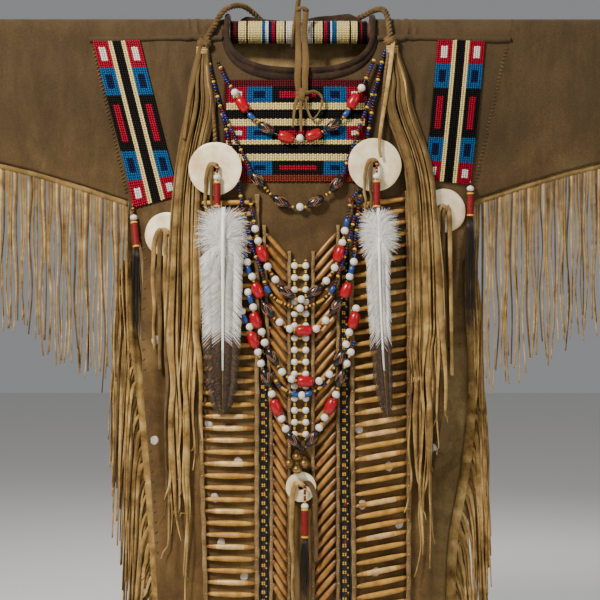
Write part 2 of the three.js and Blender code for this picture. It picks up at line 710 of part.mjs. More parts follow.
for (const [name, bundle] of Object.entries(BUNDLES)) {
  const { root, strands } = bundle;
  for (const layer of [0, 1]) {
    const count = strands.length;
    const liftTop = root.lift + layer * 4.4;
    const stations = Array.from({ length: count + 1 }, (_, k) => {
      const x = root.x + lerp(-root.half, root.half, k / count);
      return {
        front: onFront(x, root.z - 8, liftTop + 3.7), back: onFront(x, root.z - 8, liftTop),
        topFront: onFront(x, root.z, liftTop + 3.7), topBack: onFront(x, root.z, liftTop),
      };
    });
    const wide = vec(1, 0, 0);
    const grown = strands.map((s, k) => {
      const shift = layer * 4.2;
      const below = s.end + layer * (60 + 50 * spread(k, 11));
      const at = (x, z, lift, width) => section(onFront(x, z, lift).add(vec(shift, 0, 0)), wide, width, 1.8);
      const near = liftTop + 1.4;
      return [
        at(s.a, BUNDLE_LEVELS.a, near + 0.5, 5.6),
        at(s.b, BUNDLE_LEVELS.b + 25, 11.5 + layer * 5.5, 6),
        at(s.c, BUNDLE_LEVELS.c, s.lift + layer * 5.5, 6),
        at(s.c + 3 * spread(k, 12), below, s.lift - 1 + layer * 5.5, 3),
      ];
    });
    add(`shoulder_thongs_${name}_${layer ? 'front' : 'back'}`, comb(stations, grown), 'thong');
  }
}

// Neck cord: lies behind the neck, comes over both shoulders and ends in a knot on each
{
  const route = curve([
    onFront(-168, -147, 9.5), onFront(-163, -133, 9.5), onFront(-152, -114, 8), vec(-130, -18, -76),
    vec(-104, 8, -62), vec(-84, 34, -68), vec(-52, 47, -93), vec(0, 52, -103), vec(60, 48, -96), vec(104, 36, -78),
    vec(134, 12, -68), vec(148, -16, -80), onFront(153, -114, 8), onFront(154, -129, 9.5), onFront(157, -143, 9.5),
  ], 30);
  const last = route.length - 1;
  const radius = (i) => ([0, last].includes(i) ? 6 : [1, last - 1].includes(i) ? 8.6 : 5.8);
  add('neck_cord', tube(route, radius, 6), 'thong');
}

// Hanging loop: a closed loop of thong under the rod and over a hook at the origin
{
  const route = curve([
    vec(0, 0, 4), vec(0, -8, -4), vec(-2, -17, -34), vec(-6, -24.5, -78), vec(-11, -25.5, -112), vec(-12, -14, -131),
    vec(-12, 4, -133.9), vec(-11, 18.5, -125), vec(-7, 25.5, -104), vec(-4, 21, -72), vec(0, 12, -34), vec(0, 8, -4),
  ], 26, true);
  add('hanging_loop', tube(route, 3.6, 5, true), 'thong');
}

// Neck lace: two straps from the loop over the collar to a knot on the bib, a bow loop and tails
{
  const LACE = [
    { z: -76, depth: 32.5 }, { z: -120, depth: 33 }, { z: -168, depth: 55 }, { z: -200, depth: 62 },
    { z: -224, depth: 64 },
  ];
  const strap = (x, width) => loft(LACE.map((row) => section(vec(x, -row.depth, row.z), vec(1, 0, 0), width, 2.4)));
  const tie = box(vec(2, -31.8, -78), vec(24, 6, 9));
  const knot = box(vec(3, -65, -228), vec(22, 9, 13));
  const bowRoute = curve([vec(8, -65, -226), vec(24, -66, -222), vec(37, -66.5, -232), vec(33, -68, -252),
    vec(22, -69, -268), vec(14, -69, -256), vec(9, -67, -234)], 12);
  const bow = tube(bowRoute, 3, 4);
  const tail = (x0, x1, z1) => loft([
    section(vec(x0, -65, -230), vec(1, 0, 0), 6, 2.2), section(vec((x0 + x1) / 2, -69, -250), vec(1, 0, 0), 6, 2),
    section(vec(x1, -72, z1), vec(1, 0, 0), 4, 1.6),
  ]);
  add('neck_lace', join([strap(-3, 10.5), strap(9, 10.5), tie, knot, bow, tail(-4, -12, -282), tail(2, 2, -290)]),
    'thong');
}

// Breastplate ladders: two spacer strips of hide and the hair pipes strung between them
function ladder(name, leftEdge, rightEdge, zTop, zBottom, pitch, width, fromDrop, toDrop, bulge) {
  const shell = new Shell();
  const count = Math.floor((zTop - zBottom) / pitch);
  const base = zBottom - Math.max(fromDrop, toDrop) - 10;
  const makeSide = (edge, drop, outward, firstZ) => {
    const face = [];
    const far = [];
    const put = (list, x, z) => list.push({
      z,
      front: shell.point(onFront(x, z, PIPE.frontLift)),
      back: shell.point(onFront(x, z, PIPE.backLift)),
    });
    const stops = [firstZ];
    for (let k = 0; k < count; k++) {
      const z = zTop - drop - pitch * (k + 0.5);
      stops.push(z + PIPE.half, z - PIPE.half);
    }
    stops.push(base);
    for (const z of stops) put(face, edge(z) - outward * width / 2, z);
    const every = 10;
    stops.forEach((z, k) => {
      if (k === 0 || k === stops.length - 1 || k % every === 0) put(far, edge(z) + outward * width / 2, z);
    });
    return { face, far, outward };
  };
  const left = makeSide(leftEdge, fromDrop, -1, zTop - Math.min(fromDrop, 0) + 4);
  const right = makeSide(rightEdge, toDrop, 1, zTop - toDrop + 4);
  const zip = (a, b, layer, flip) => {
    let i = 0;
    let j = 0;
    const tri = (p, q, r) => (flip ? shell.tri(p, r, q) : shell.tri(p, q, r));
    while (i + 1 < a.length || j + 1 < b.length) {
      const nextA = i + 1 < a.length ? a[i + 1].z : -1e9;
      const nextB = j + 1 < b.length ? b[j + 1].z : -1e9;
      if (nextA >= nextB) {
        tri(a[i][layer], a[i + 1][layer], b[j][layer]);
        i += 1;
      } else {
        tri(a[i][layer], b[j + 1][layer], b[j][layer]);
        j += 1;
      }
    }
  };
  const strip = ({ face, far, outward }) => {
    const turn = outward > 0;
    zip(face, far, 'front', turn);
    zip(face, far, 'back', !turn);
    const wallOf = (line, flip) => line.slice(1).forEach((q, k) => {
      const p = line[k];
      if (flip) shell.quad(p.front, p.back, q.back, q.front);
      else shell.quad(p.front, q.front, q.back, p.back);
    });
    wallOf(far, turn);
    face.slice(1).forEach((q, k) => {
      if (k % 2 === 1) return;
      const p = face[k];
      if (turn) shell.quad(p.front, q.front, q.back, p.back);
      else shell.quad(p.front, p.back, q.back, q.front);
    });
    const capAt = (p, q, flip) => (flip ? shell.quad(p.front, q.front, q.back, p.back)
      : shell.quad(p.front, p.back, q.back, q.front));
    capAt(face[0], far[0], !turn);
    capAt(face[face.length - 1], far[far.length - 1], turn);
  };
  strip(left);
  strip(right);
  for (let k = 0; k < count; k++) {
    const a = [left.face[2 * k + 1], left.face[2 * k + 2]];
    const b = [right.face[2 * k + 1], right.face[2 * k + 2]];
    const ringA = [a[0].front, a[0].back, a[1].back, a[1].front];
    const ringB = [b[0].front, b[0].back, b[1].back, b[1].front];
    if (!bulge) {
      shell.band(ringA, ringB);
      continue;
    }
    const x = (leftEdge(a[0].z) + rightEdge(b[0].z)) / 2;
    const z = (a[0].z + a[1].z + b[0].z + b[1].z) / 4;
    const lift = (PIPE.frontLift + PIPE.backLift) / 2;
    const middle = [
      onFront(x, z + bulge, lift + bulge), onFront(x, z + bulge, lift - bulge),
      onFront(x, z - bulge, lift - bulge), onFront(x, z - bulge, lift + bulge),
    ].map((p) => shell.point(p));
    shell.band(ringA, middle);
    shell.band(middle, ringB);
  }
  add(name, shell.geometry(), 'bone');
}

// Centre lines of the spacer strips, by height
const LINES = [
  { z: -330, outerLeft: -186, innerLeft: -72.3, outerRight: 180, innerRight: 85, chevLeft: -61, chevRight: 64 },
  { z: -440, outerLeft: -181, innerLeft: -72.3, outerRight: 183, innerRight: 86, chevLeft: -60.6, chevRight: 64 },
  { z: -620, outerLeft: -175, innerLeft: -72.3, outerRight: 184, innerRight: 87, chevLeft: -54.5, chevRight: 64 },
  { z: -780, outerLeft: -168, innerLeft: -72.3, outerRight: 184, innerRight: 88, chevLeft: -48.5, chevRight: 64 },
  { z: -1150, outerLeft: -157, innerLeft: -72.3, outerRight: 184, innerRight: 92, chevLeft: -48.5, chevRight: 64 },
];
const lineAt = (name) => (z) => column(LINES, name, z);
ladder('breastplate_outer_left', lineAt('outerLeft'), lineAt('innerLeft'), -398, -1100, 20, 8, 0, 0, PIPE.bulge);
ladder('breastplate_outer_right', lineAt('innerRight'), lineAt('outerRight'), -398, -1100, 19.4, 8, 7, -7, PIPE.bulge);
ladder('breastplate_inner_left', lineAt('chevLeft'), () => -18, -450, -1062, 19.6, 6, 0, 44, 0);
ladder('breastplate_inner_right', () => 22, lineAt('chevRight'), -450, -1062, 19.6, 6, 44, 0, 0);

// Bands of small beads between the ladders
for (const [name, from, to, top] of [
  ['bead_band_left', (z) => lineAt('innerLeft')(z) + 4.5, (z) => lineAt('chevLeft')(z) - 3.5, -640],
  ['bead_band_right', (z) => lineAt('chevRight')(z) + 3.5, (z) => lineAt('innerRight')(z) - 4.5, -470],
]) {
  const rings = [];
  for (let k = 0; k <= 10; k++) {
    const z = lerp(top, -1108, k / 10);
    rings.push([
      onFront(from(z), z, 7), onFront(to(z), z, 7), onFront(to(z), z, 1.2), onFront(from(z), z, 1.2),
    ]);
  }
  add(name, loft(rings), 'darkBeads');
}

// Centre ladder: pairs of white beads on cross threads between two cords
{
  const shell = new Shell();
  const PAIRS = 15;
  const TOP = -514.5;
  const PITCH = 20.2;
  const X = [-9.2, 9.7];
  const ring = (x, z, r) => [[1, 1], [-1, 1], [-1, -1], [1, -1]].map(([a, b]) =>
    shell.point(onFront(x, z + a * r, 6.5 + b * r)));
  // Square beads on each cord and a thread from cord to cord at each pair
  const rows = [];
  for (let k = 0; k < PAIRS; k++) rows.push(TOP - PITCH * k);
  const cords = X.map((x, side) => {
    const levels = [];
    const at = (z, r) => levels.push([[-1, 1], [1, 1], [1, -1], [-1, -1]].map(([a, b]) =>
      shell.point(onFront(x + a * r, z, 6.5 + b * r))));
    at(TOP + 12, 1.2);
    rows.forEach((z) => {
      at(z + 3.6, 5);
      at(z - 3.6, 5);
    });
    at(TOP - PITCH * (PAIRS - 1) - 12, 1.2);
    shell.cap(levels[0], true);
    shell.cap(levels[levels.length - 1], false);
    for (let i = 0; i + 1 < levels.length; i++) {
      const isBead = i % 2 === 1 && i < levels.length - 2;
      for (let e = 0; e < 4; e++) {
        const f = (e + 1) % 4;
        const open = isBead && ((side === 0 && e === 1) || (side === 1 && e === 3));
        if (!open) shell.quad(levels[i][e], levels[i][f], levels[i + 1][f], levels[i + 1][e]);
      }
    }
    return levels;
  });
  for (let k = 0; k < PAIRS; k++) {
    const i = 1 + 2 * k;
    const [l0, l1] = [cords[0][i], cords[0][i + 1]];
    const [r0, r1] = [cords[1][i], cords[1][i + 1]];
    const mid = ring(0.2, rows[k], 1.5);
    const leftRing = [l0[1], l0[2], l1[2], l1[1]];
    const rightRing = [r0[0], r0[3], r1[3], r1[0]];
    const midRing = [mid[0], mid[3], mid[2], mid[1]];
    shell.band(leftRing, midRing);
    shell.band(midRing, rightRing);
  }
  add('centre_ladder', shell.geometry(), 'beads');
}

// Discs: flat shell rings
const DISCS = [
  { name: 'chest_left', x: -142.8, z: -351.4, radius: DISC.chest, lift: 17.5 },
  { name: 'chest_right', x: 125.8, z: -344.6, radius: DISC.chest, lift: 12.9 },
  { name: 'sleeve_left', x: -227.8, z: -460, radius: DISC.sleeve, lift: 0.8 },
  { name: 'sleeve_right', x: 246.5, z: -419.4, radius: DISC.sleeve, lift: 0.8 },
  { name: 'centre', x: 1.7, z: -885, radius: DISC.centre, lift: 9 },
];
for (const d of DISCS) {
  const slopeX = (frontDepth(d.x + d.radius, d.z) - frontDepth(d.x - d.radius, d.z)) / (2 * d.radius);
  const slopeZ = (frontDepth(d.x, d.z + d.radius) - frontDepth(d.x, d.z - d.radius)) / (2 * d.radius);
  d.lean = (x, z) => -slopeX * (x - d.x) - slopeZ * (z - d.z);
  let ahead = 0;
  for (let k = 0; k < 24; k++) {
    const [x, z] = [d.x + d.radius * Math.cos(k * Math.PI / 12), d.z + d.radius * Math.sin(k * Math.PI / 12)];
    ahead = Math.max(ahead, frontDepth(x, z) - frontDepth(d.x, d.z) + d.lean(x, z));
  }
  d.back = -frontDepth(d.x, d.z) - WALL / 2 - ahead - d.lift;
  const profile = [[DISC.hole, 0], [d.radius - 1, 0], [d.radius, 1.8], [DISC.hole + 1, DISC.thick]];
  const sides = 16;
  const rings = Array.from({ length: sides }, (_, k) => {
    const a = 2 * Math.PI * k / sides;
    return profile.map(([r, h]) => {
      const [x, z] = [d.x + r * Math.cos(a), d.z + r * Math.sin(a)];
      return vec(x, d.back - h + d.lean(x, z), z);
    });
  });
  add(`disc_${d.name}`, loft(rings, true), 'shell');
}

// Thongs through the discs: a knot over the hole and the straps that hang from it
const DISC_THONGS = {
  chest_left: [{ x: -15, w: 8, end: -470 }, { x: -6, w: 7, end: -440 }],
  chest_right: [{ x: -17, w: 7.5, end: -430 }, { x: -7.4, w: 6.6, end: -419 }],
  sleeve_left: [{ x: -21, w: 9, end: -655 }, { x: -11, w: 9, end: -690 }, { x: -1, w: 8, end: -640 }],
  sleeve_right: [{ x: -14, w: 9, end: -640 }, { x: -3, w: 9, end: -672 }, { x: 9, w: 9, end: -700 }],
  centre: [{ x: -15, w: 10, end: -1085 }, { x: 24, w: 10, end: -1010 }],
};
const KNOT = { above: 11, high: 14, thick: 5, wide: 9 };
for (const d of DISCS) {
  const front = d.back - DISC.thick - SEAM;
  d.knotFront = front - KNOT.thick;
  const top = d.z + KNOT.above;
  const list = DISC_THONGS[d.name];
  const stations = [];
  const strands = [];
  const station = (x) => {
    const [low, high] = [d.lean(x, top - KNOT.high), d.lean(x, top)];
    stations.push({
      front: vec(x, d.knotFront + low, top - KNOT.high), back: vec(x, front + low, top - KNOT.high),
      topFront: vec(x, d.knotFront + high, top), topBack: vec(x, front + high, top),
    });
  };
  const middle = (list[0].x + list[list.length - 1].x) / 2;
  const rootLeft = d.x + 0.75 * middle - KNOT.wide * list.length / 2;
  const over = d.name === 'centre' ? 13 : 6;
  list.forEach((s, k) => {
    station(rootLeft + KNOT.wide * k);
    const x = d.x + s.x;
    const edge = d.lean(x, d.z - d.radius);
    const bend = Math.max(top - 100, lerp(top - 38, s.end, 0.5));
    const away = (z) => Math.min(front - 1.6 + edge, onFront(x, z, over).y);
    strands.push([
      section(vec(x, front - 1.8 + d.lean(x, top - 38), top - 38), vec(1, 0, 0), s.w, 2),
      section(vec(x, away(bend), bend), vec(1, 0, 0), s.w, 2),
      section(vec(x + 2, away(s.end), s.end), vec(1, 0, 0), s.w * 0.7, 1.6),
    ]);
  });
  station(rootLeft + KNOT.wide * list.length);
  add(`disc_thongs_${d.name}`, comb(stations, strands), 'thong');
}

// Drops: seed beads, a white bead and a quill wrap, turned about an upright line
const DROPS = [
  { name: 'chest_left', x: -138.6, top: -345, whiteZ: -366.7, wrapTop: -374, wrapEnd: -416, disc: 0, lean: 0 },
  { name: 'chest_right', x: 128.5, top: -339, whiteZ: -365, wrapTop: -372, wrapEnd: -416.5, disc: 1, lean: 0 },
  { name: 'sleeve_left', x: -287, top: -410, whiteZ: -431, wrapTop: -438, wrapEnd: -482, lean: 8 },
  { name: 'sleeve_right', x: 292, top: -371, whiteZ: -381, wrapTop: -388, wrapEnd: -428, lean: 0 },
  { name: 'centre', x: 8, top: -882, whiteZ: -915.8, wrapTop: -919.5, wrapEnd: -968.5, disc: 4, lean: 0 },
];
for (const d of DROPS) {
  const free = d.disc === undefined;
  d.y = free ? onFront(d.x, d.top, 8.4).y : DISCS[d.disc].knotFront - 3.5;
  const end = free ? Math.min(d.y, onFront(d.x + d.lean, d.wrapEnd, 10).y) : d.y;
  const stations = [
    [d.top, 1.5], [d.top - 3, 3.2], [d.whiteZ + 8, 3.2], [d.whiteZ + 5.5, 6.4], [d.whiteZ - 4, 6.4],
    [d.wrapTop, 6.6], [d.wrapEnd, 6.2], [d.wrapEnd - 3, 3],
  ];
  const rings = stations.map(([z, r]) => Array.from({ length: 6 }, (_, k) => {
    const a = 2 * Math.PI * k / 6;
    const t = (d.top - z) / (d.top - d.wrapEnd);
    return vec(d.x + d.lean * t + r * Math.cos(a), lerp(d.y, end, t) + r * Math.sin(a), z);
  }));
  add(`drop_${d.name}`, loft(rings), 'quill');
  d.y = end;
}

// Feathers: down at the top, then a flat blade with a narrowing tip
const FEATHERS = [
  { name: 'feather_left', drop: DROPS[0], middle: -128, tipX: -129, tip: -766, width: 1 },
  { name: 'feather_right', drop: DROPS[1], middle: 131, tipX: 147, tip: -772, width: 0.56 },
];
const BLADE = [
  { z: -420, half: 5, thick: 5 },
  { z: -432, half: 32, thick: 9 },
  { z: -452, half: 44, thick: 12 },
  { z: -485, half: 42, thick: 9 },
  { z: -512, half: 38, thick: 4 },
  { z: -570, half: 37, thick: 1.4 },
  { z: -650, half: 33, thick: 1.2 },
  { z: -715, half: 24, thick: 1.2 },
  { z: -750, half: 12, thick: 1 },
  { z: -765, half: 2.5, thick: 0.8 },
];
for (const f of FEATHERS) {
  const rings = BLADE.map((row) => {
    const t = (row.z + 420) / (f.tip + 420);
    const z = lerp(-420, f.tip, (row.z + 420) / (-765 + 420));
    const x = lerp(f.middle, f.tipX, t * t);
    const y = f.drop.y - 17 * smooth(clamp((-420 - z) / 70, 0, 1)) + 12 * t * t;
    return Array.from({ length: 8 }, (_, k) => {
      const a = 2 * Math.PI * k / 8;
      const c = Math.cos(a);
      const cup = row.thick < 4.5 ? 2 * c * c : 0;
      return vec(x + row.half * f.width * c, y + row.thick * Math.sin(a) + cup, z);
    });
  });
  add(f.name, loft(rings), 'feather');
}

// Horsehair locks below three of the drops
for (const [name, drop, end, locks] of [
  ['horsehair_left', DROPS[2], -640, 4],
  ['horsehair_right', DROPS[3], -624, 4],
  ['horsehair_centre', DROPS[4], -1096, 4],
]) {
  const z = drop.wrapEnd - 3 - SEAM;
  const x0 = drop.x + drop.lean * 1.02;
  const stations = Array.from({ length: locks + 1 }, (_, k) => {
    const x = x0 + lerp(-6, 6, k / locks);
    return {
      front: vec(x, drop.y - 3.5, z - 8), back: vec(x, drop.y + 3.5, z - 8),
      topFront: vec(x, drop.y - 3.5, z), topBack: vec(x, drop.y + 3.5, z),
    };
  });
  const strands = Array.from({ length: locks }, (_, k) => {
    const x = x0 + lerp(-6, 6, (k + 0.5) / locks);
    const way = k - (locks - 1) / 2;
    return [
      section(vec(x + way * 1.2, drop.y, lerp(z, end, 0.35)), vec(1, 0, 0), 3, 5),
      section(vec(x + way * 1.6, drop.y + 0.6 * way, end + 14 * Math.abs(way)), vec(1, 0, 0), 1.4, 2),
    ];
  });
  add(name, comb(stations, strands), 'hair');
}

// Bells: four small brass bells in a cluster at the foot of the longest strand
const BELL = { radius: 8.5, halfHeight: 8.3 };
const BELLS = [
  { x: -17.2, z: -845, lift: 17.3 },
  { x: 7.6, z: -845, lift: 17.3 },
  { x: -5, z: -854.6, lift: 21 },
  { x: -4.8, z: -834, lift: 16.8 },
];
BELLS.forEach((bell, k) => {
  const centre = onFront(bell.x, bell.z, bell.lift);
  const rings = [1, 0.7, 0, -0.7, -1].map((h) => Array.from({ length: 8 }, (_, i) => {
    const a = 2 * Math.PI * i / 8;
    const r = BELL.radius * Math.max(0.22, Math.sqrt(1 - h * h));
    return vec(centre.x + r * Math.cos(a), centre.y + r * Math.sin(a), centre.z + BELL.halfHeight * h);
  }));
  add(`bell_${k + 1}`, loft(rings), 'brass');
});

// Strands of beads. Each bead is named by its kind, with its place; the strand is thin between them.
const BEAD = {
  white: { half: 6, radius: 6.6 },
  red: { half: 14, radius: 9.6 },
  black: { half: 17, radius: 8.6 },
  blue: { half: 6.5, radius: 4.6 },
  gold: { half: 4, radius: 3.4 },
  seed: { half: 0, radius: 3 },
};
const STRANDS = [
  { name: 'strand_1', base: 10.9, beads: 'seed -139 -168|seed -126 -198|white -110 -222|red -97 -243|blue -82 -263|'
    + 'black -56 -283|red -23 -299|white 0 -300|red 23 -295|black 56 -278|blue 78 -258|red 90 -237|'
    + 'white 104 -214|seed 119 -181|seed 126 -164' },
  { name: 'strand_2', base: 10.3, beads: 'seed -140 -234|seed -126 -263|seed -109 -300|seed -88 -343|'
    + 'black -71 -370|black -32 -407|white 0 -416|black 26 -407|black 61 -377|seed 88 -317|seed 102 -275|'
    + 'seed 119 -232|seed 129 -207' },
  { name: 'strand_3', base: 16.8, beads: 'seed -92 -430|seed -80 -484|seed -66 -520|blue -54 -555|gold -36 -574|'
    + 'white 0 -586|gold 34 -574|blue 54 -555|seed 68 -520|seed 83 -470|seed 92 -430' },
  { name: 'strand_4', base: 17, beads: 'seed -84 -400|white -75 -453|white -70 -473|red -63 -495|white -54 -516|'
    + 'white -41 -538|black -23 -559|white 2 -571|black 25 -557|white 44 -540|white 58 -518|red 65 -495|'
    + 'white 71 -476|white 75 -456|blue 78 -442|seed 85 -406|seed 99 -387' },
  { name: 'strand_5', base: 18.9, beads: 'white -88 -509|blue -86 -522|white -80 -533|red -71 -556|black -54 -588|'
    + 'white -34 -609|white -17 -620|red 7 -623|white 27 -620|white 43 -606|black 60 -583|red 77 -556|'
    + 'white 83 -533|blue 86 -522|white 90 -508|seed 94 -489' },
  { name: 'strand_6', base: 18.9, beads: 'white -87 -559|blue -83 -571|white -78 -584|red -74 -606|white -64 -625|'
    + 'white -59 -643|black -46 -667|white -30 -692|white -14 -704|red 9 -708|white 32 -707|white 49 -696|'
    + 'black 66 -669|white 77 -646|white 82 -626|red 90 -606|white 94 -586' },
  { name: 'strand_7', base: 16.8, beads: 'seed -45 -693|seed -39 -710|gold -28 -720|blue -9 -729|'
    + 'white 3 -731|blue 14 -729|gold 33 -719|seed 44 -709' },
  { name: 'strand_8', base: 18.3, beads: 'white -97 -591|blue -92 -604|white -84 -617|red -78 -639|white -70 -659|'
    + 'white -65 -678|black -56 -702|white -47 -729|red -40 -751|white -31 -770|white -24 -787|black -11 -806|'
    + 'seed 5 -822|black 20 -803|white 32 -785|white 41 -768|red 51 -749|white 60 -730|black 68 -702|white 78 -678|'
    + 'white 85 -659|seed 92 -640' },
];
for (const strand of STRANDS) {
  const beads = strand.beads.split('|').map((entry) => {
    const [kind, x, z] = entry.split(' ');
    return { kind, x: Number(x), z: Number(z) };
  });
  const route = [];
  const radii = [];
  beads.forEach((bead, i) => {
    const before = beads[Math.max(0, i - 1)];
    const after = beads[Math.min(beads.length - 1, i + 1)];
    const way = vec(after.x - before.x, 0, after.z - before.z).normalize();
    const { half, radius } = BEAD[bead.kind];
    const put = (t, r) => {
      const x = bead.x + way.x * t;
      const z = bead.z + way.z * t;
      route.push(onFront(x, z, strand.base));
      radii.push(r);
    };
    if (half < 5) put(0, radius);
    else if (radius < 8) {
      put(-half * 0.6, radius);
      put(half * 0.6, radius);
    } else {
      put(-half, radius * 0.6);
      put(0, radius);
      put(half, radius * 0.6);
    }
  });
  add(strand.name, tube(route, (i) => radii[i], 4), strand.name === 'strand_2' ? 'darkBeads' : 'beads');
}

export default shirt;
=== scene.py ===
import math
import random
import bmesh
import bpy
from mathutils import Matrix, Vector, noise


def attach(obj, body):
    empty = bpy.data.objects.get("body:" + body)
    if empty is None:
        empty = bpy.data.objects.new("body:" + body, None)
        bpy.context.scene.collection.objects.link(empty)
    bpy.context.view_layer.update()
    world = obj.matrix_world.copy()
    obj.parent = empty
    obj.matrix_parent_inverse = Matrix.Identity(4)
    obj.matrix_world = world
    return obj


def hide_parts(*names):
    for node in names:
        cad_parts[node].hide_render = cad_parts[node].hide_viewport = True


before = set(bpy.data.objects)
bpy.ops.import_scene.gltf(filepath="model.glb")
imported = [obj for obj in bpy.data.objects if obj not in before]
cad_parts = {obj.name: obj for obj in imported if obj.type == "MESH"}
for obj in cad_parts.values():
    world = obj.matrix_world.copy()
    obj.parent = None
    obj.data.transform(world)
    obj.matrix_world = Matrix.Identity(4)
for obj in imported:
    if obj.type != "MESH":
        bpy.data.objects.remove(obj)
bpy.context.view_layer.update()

# Metres. X runs along the rod, Y away from the viewer, Z up, origin under the crown of the hanging loop.
WALL = 0.0022
SEAM = 0.00035
SEAT = 0.0008
ROD_Z = -0.110
ROD_RADIUS = 0.0188
WRAP_LEFT, WRAP_RIGHT = -0.125, 0.115
ROD_HALF = 0.75
OVER_ROD = 0.0215
YOKE_DROP = 0.015
FRONT_HEM = -1.120
BACK_HEM = -1.145
ARMPIT_Z, ARMPIT_X, ARMPIT_TOP_Z, ARMPIT_TOP_X, ARMPIT_DEPTH = -0.400, 0.296, -0.089, 0.365, 0.005
CUFF_X, CUFF_BOTTOM = 0.738, -0.292
NECK_HALF, NECK_Z, NECK_DROP, BAND_HALF, BAND_DROP, NECK_POWER = 0.122, -0.108, 0.072, 0.128, 0.086, 2.6
BIB = (-0.129, 0.114, -0.199, -0.373)
BEAD_SLAB = 0.0026
TURN = 2 * math.pi
OUT = Vector((0, -1, 0))
UP = Vector((0, 0, 1))

# Side edges of both hides: z, x on the left, x on the right
FRONT_EDGES = [(-0.400, -0.296, 0.296), (-0.455, -0.280, 0.281), (-0.499, -0.268, 0.273),
               (-0.606, -0.270, 0.262), (-0.713, -0.267, 0.250), (-0.861, -0.255, 0.228),
               (-0.990, -0.247, 0.226), (-1.150, -0.240, 0.224)]
BACK_EDGES = [(-0.400, -0.296, 0.296), (-0.500, -0.299, 0.290), (-0.606, -0.292, 0.293),
              (-0.708, -0.277, 0.298), (-0.861, -0.262, 0.286), (-0.989, -0.252, 0.264),
              (-1.170, -0.243, 0.258)]
# How far the hides' middle stands off the rod's plane: z, in front, behind
DEPTHS = [(-0.080, 0.021, 0.021), (-0.110, 0.022, 0.021), (-0.180, 0.044, 0.025), (-0.260, 0.056, 0.031),
          (-0.380, 0.064, 0.038), (-0.500, 0.068, 0.043), (-0.700, 0.070, 0.046), (-0.900, 0.068, 0.046),
          (-1.170, 0.064, 0.044)]
# Folds: x at the top and hem, height span, depth, half width
FOLDS = [(-0.262, -0.226, -0.520, -1.200, 0.007, 0.018), (-0.285, -0.252, -0.520, -1.200, -0.005, 0.016),
         (0.255, 0.214, -0.520, -1.200, 0.007, 0.018), (0.285, 0.240, -0.520, -1.200, -0.005, 0.016),
         (-0.196, -0.198, -0.140, -0.310, -0.0035, 0.011), (0.196, 0.196, -0.140, -0.310, -0.0035, 0.010)]


def lerp(a, b, t):
    return a + (b - a) * t


def clamp(v, low=0.0, high=1.0):
    return min(high, max(low, v))


def smooth(t):
    return t * t * (3 - 2 * t)


def column(rows, col, z):
    """Value of a column at height z, on smooth curves through the rows (highest row first)."""
    if z >= rows[0][0]:
        return rows[0][col]
    if z <= rows[-1][0]:
        return rows[-1][col]
    k = next(i for i, row in enumerate(rows) if row[0] < z) - 1

    def slope(i):
        a, b = rows[max(0, i - 1)], rows[min(len(rows) - 1, i + 1)]
        return (b[col] - a[col]) / (b[0] - a[0])

    span = rows[k + 1][0] - rows[k][0]
    t = (z - rows[k][0]) / span
    rise = rows[k + 1][col] - rows[k][col]
    m0, m1 = slope(k) * span, slope(k + 1) * span
    return rows[k][col] + t * m0 + t * t * (3 * rise - 2 * m0 - m1) + t ** 3 * (m0 + m1 - 2 * rise)


def armhole(z):
    return lerp(ARMPIT_TOP_X, ARMPIT_X, (ARMPIT_TOP_Z - z) / (ARMPIT_TOP_Z - ARMPIT_Z))


def edge_at(rows, side, z):
    if z > ARMPIT_Z:
        return side * armhole(z)
    return column(rows, 1 if side < 0 else 2, z)


def closing(v):
    """How far the sides have come together, from 0 at the rod to 1 at the armpit."""
    return smooth(v) ** 1.7


def side_depth(z):
    if z > ROD_Z:
        return OVER_ROD
    if z > ARMPIT_Z:
        return lerp(OVER_ROD, ARMPIT_DEPTH, closing((ROD_Z - z) / (ROD_Z - ARMPIT_Z)))
    return lerp(ARMPIT_DEPTH, 0.024, smooth(clamp((ARMPIT_Z - z) / 0.180)))


def half_width(z):
    return max(edge_at(BACK_EDGES, 1, z), -edge_at(BACK_EDGES, -1, z))


def crown(x, z):
    return max(0.0, 1 - (x / half_width(z)) ** 2)


def folds(x, z):
    total = 0.0
    for top, hem, start, end, depth, half in FOLDS:
        if end <= z <= start:
            t = (z - start) / (end - start)
            off = (x - lerp(top, hem, t)) / half
            total += depth * math.exp(-off * off) * math.sin(math.pi * math.sqrt(t))
    return total


def front_depth(x, z):
    return lerp(side_depth(z), column(DEPTHS, 1, z), crown(x, z)) + folds(x, z)


def back_depth(x, z):
    bulge = 0.012 * max(0.0, 1 - (x / BAND_HALF) ** 2) ** 2 * clamp(1 + (z - ROD_Z) / 0.130)
    return lerp(side_depth(z), column(DEPTHS, 2, z), crown(x, z)) + bulge


def on_front(x, z, lift=0.0):
    """The point that stands lift off the front hide's outer face."""
    return Vector((x, -(front_depth(x, z) + WALL / 2 + lift), z))


def on_front_mm(x, z, lift):
    return on_front(x / 1000, z / 1000, lift / 1000)


def mm(*points):
    return [Vector((x / 1000, y / 1000, z / 1000)) for x, y, z in points]


def neckline(x, half, drop):
    return NECK_Z - drop * max(0.0, 1 - abs(x / half) ** NECK_POWER) ** (1 / NECK_POWER)


def hashed(k, salt):
    """A repeatable number from -1 to 1 for piece k."""
    return random.Random(k * 7919 + salt * 104729).uniform(-1, 1)


# Camera, at the photograph's angle
camera = bpy.data.objects.new("camera", bpy.data.cameras.new("camera"))
camera.location = (0, -2.64, -0.572)
camera.rotation_euler = (math.radians(90), 0, 0)
camera.data.angle = math.radians(22.2)
camera.data.clip_end = 30
bpy.context.collection.objects.link(camera)
bpy.context.scene.camera = camera


# Materials
def material(name):
    mat = bpy.data.materials.new(name)
    mat.use_nodes = True
    tree = mat.node_tree
    return mat, tree, tree.nodes["Principled BSDF"]


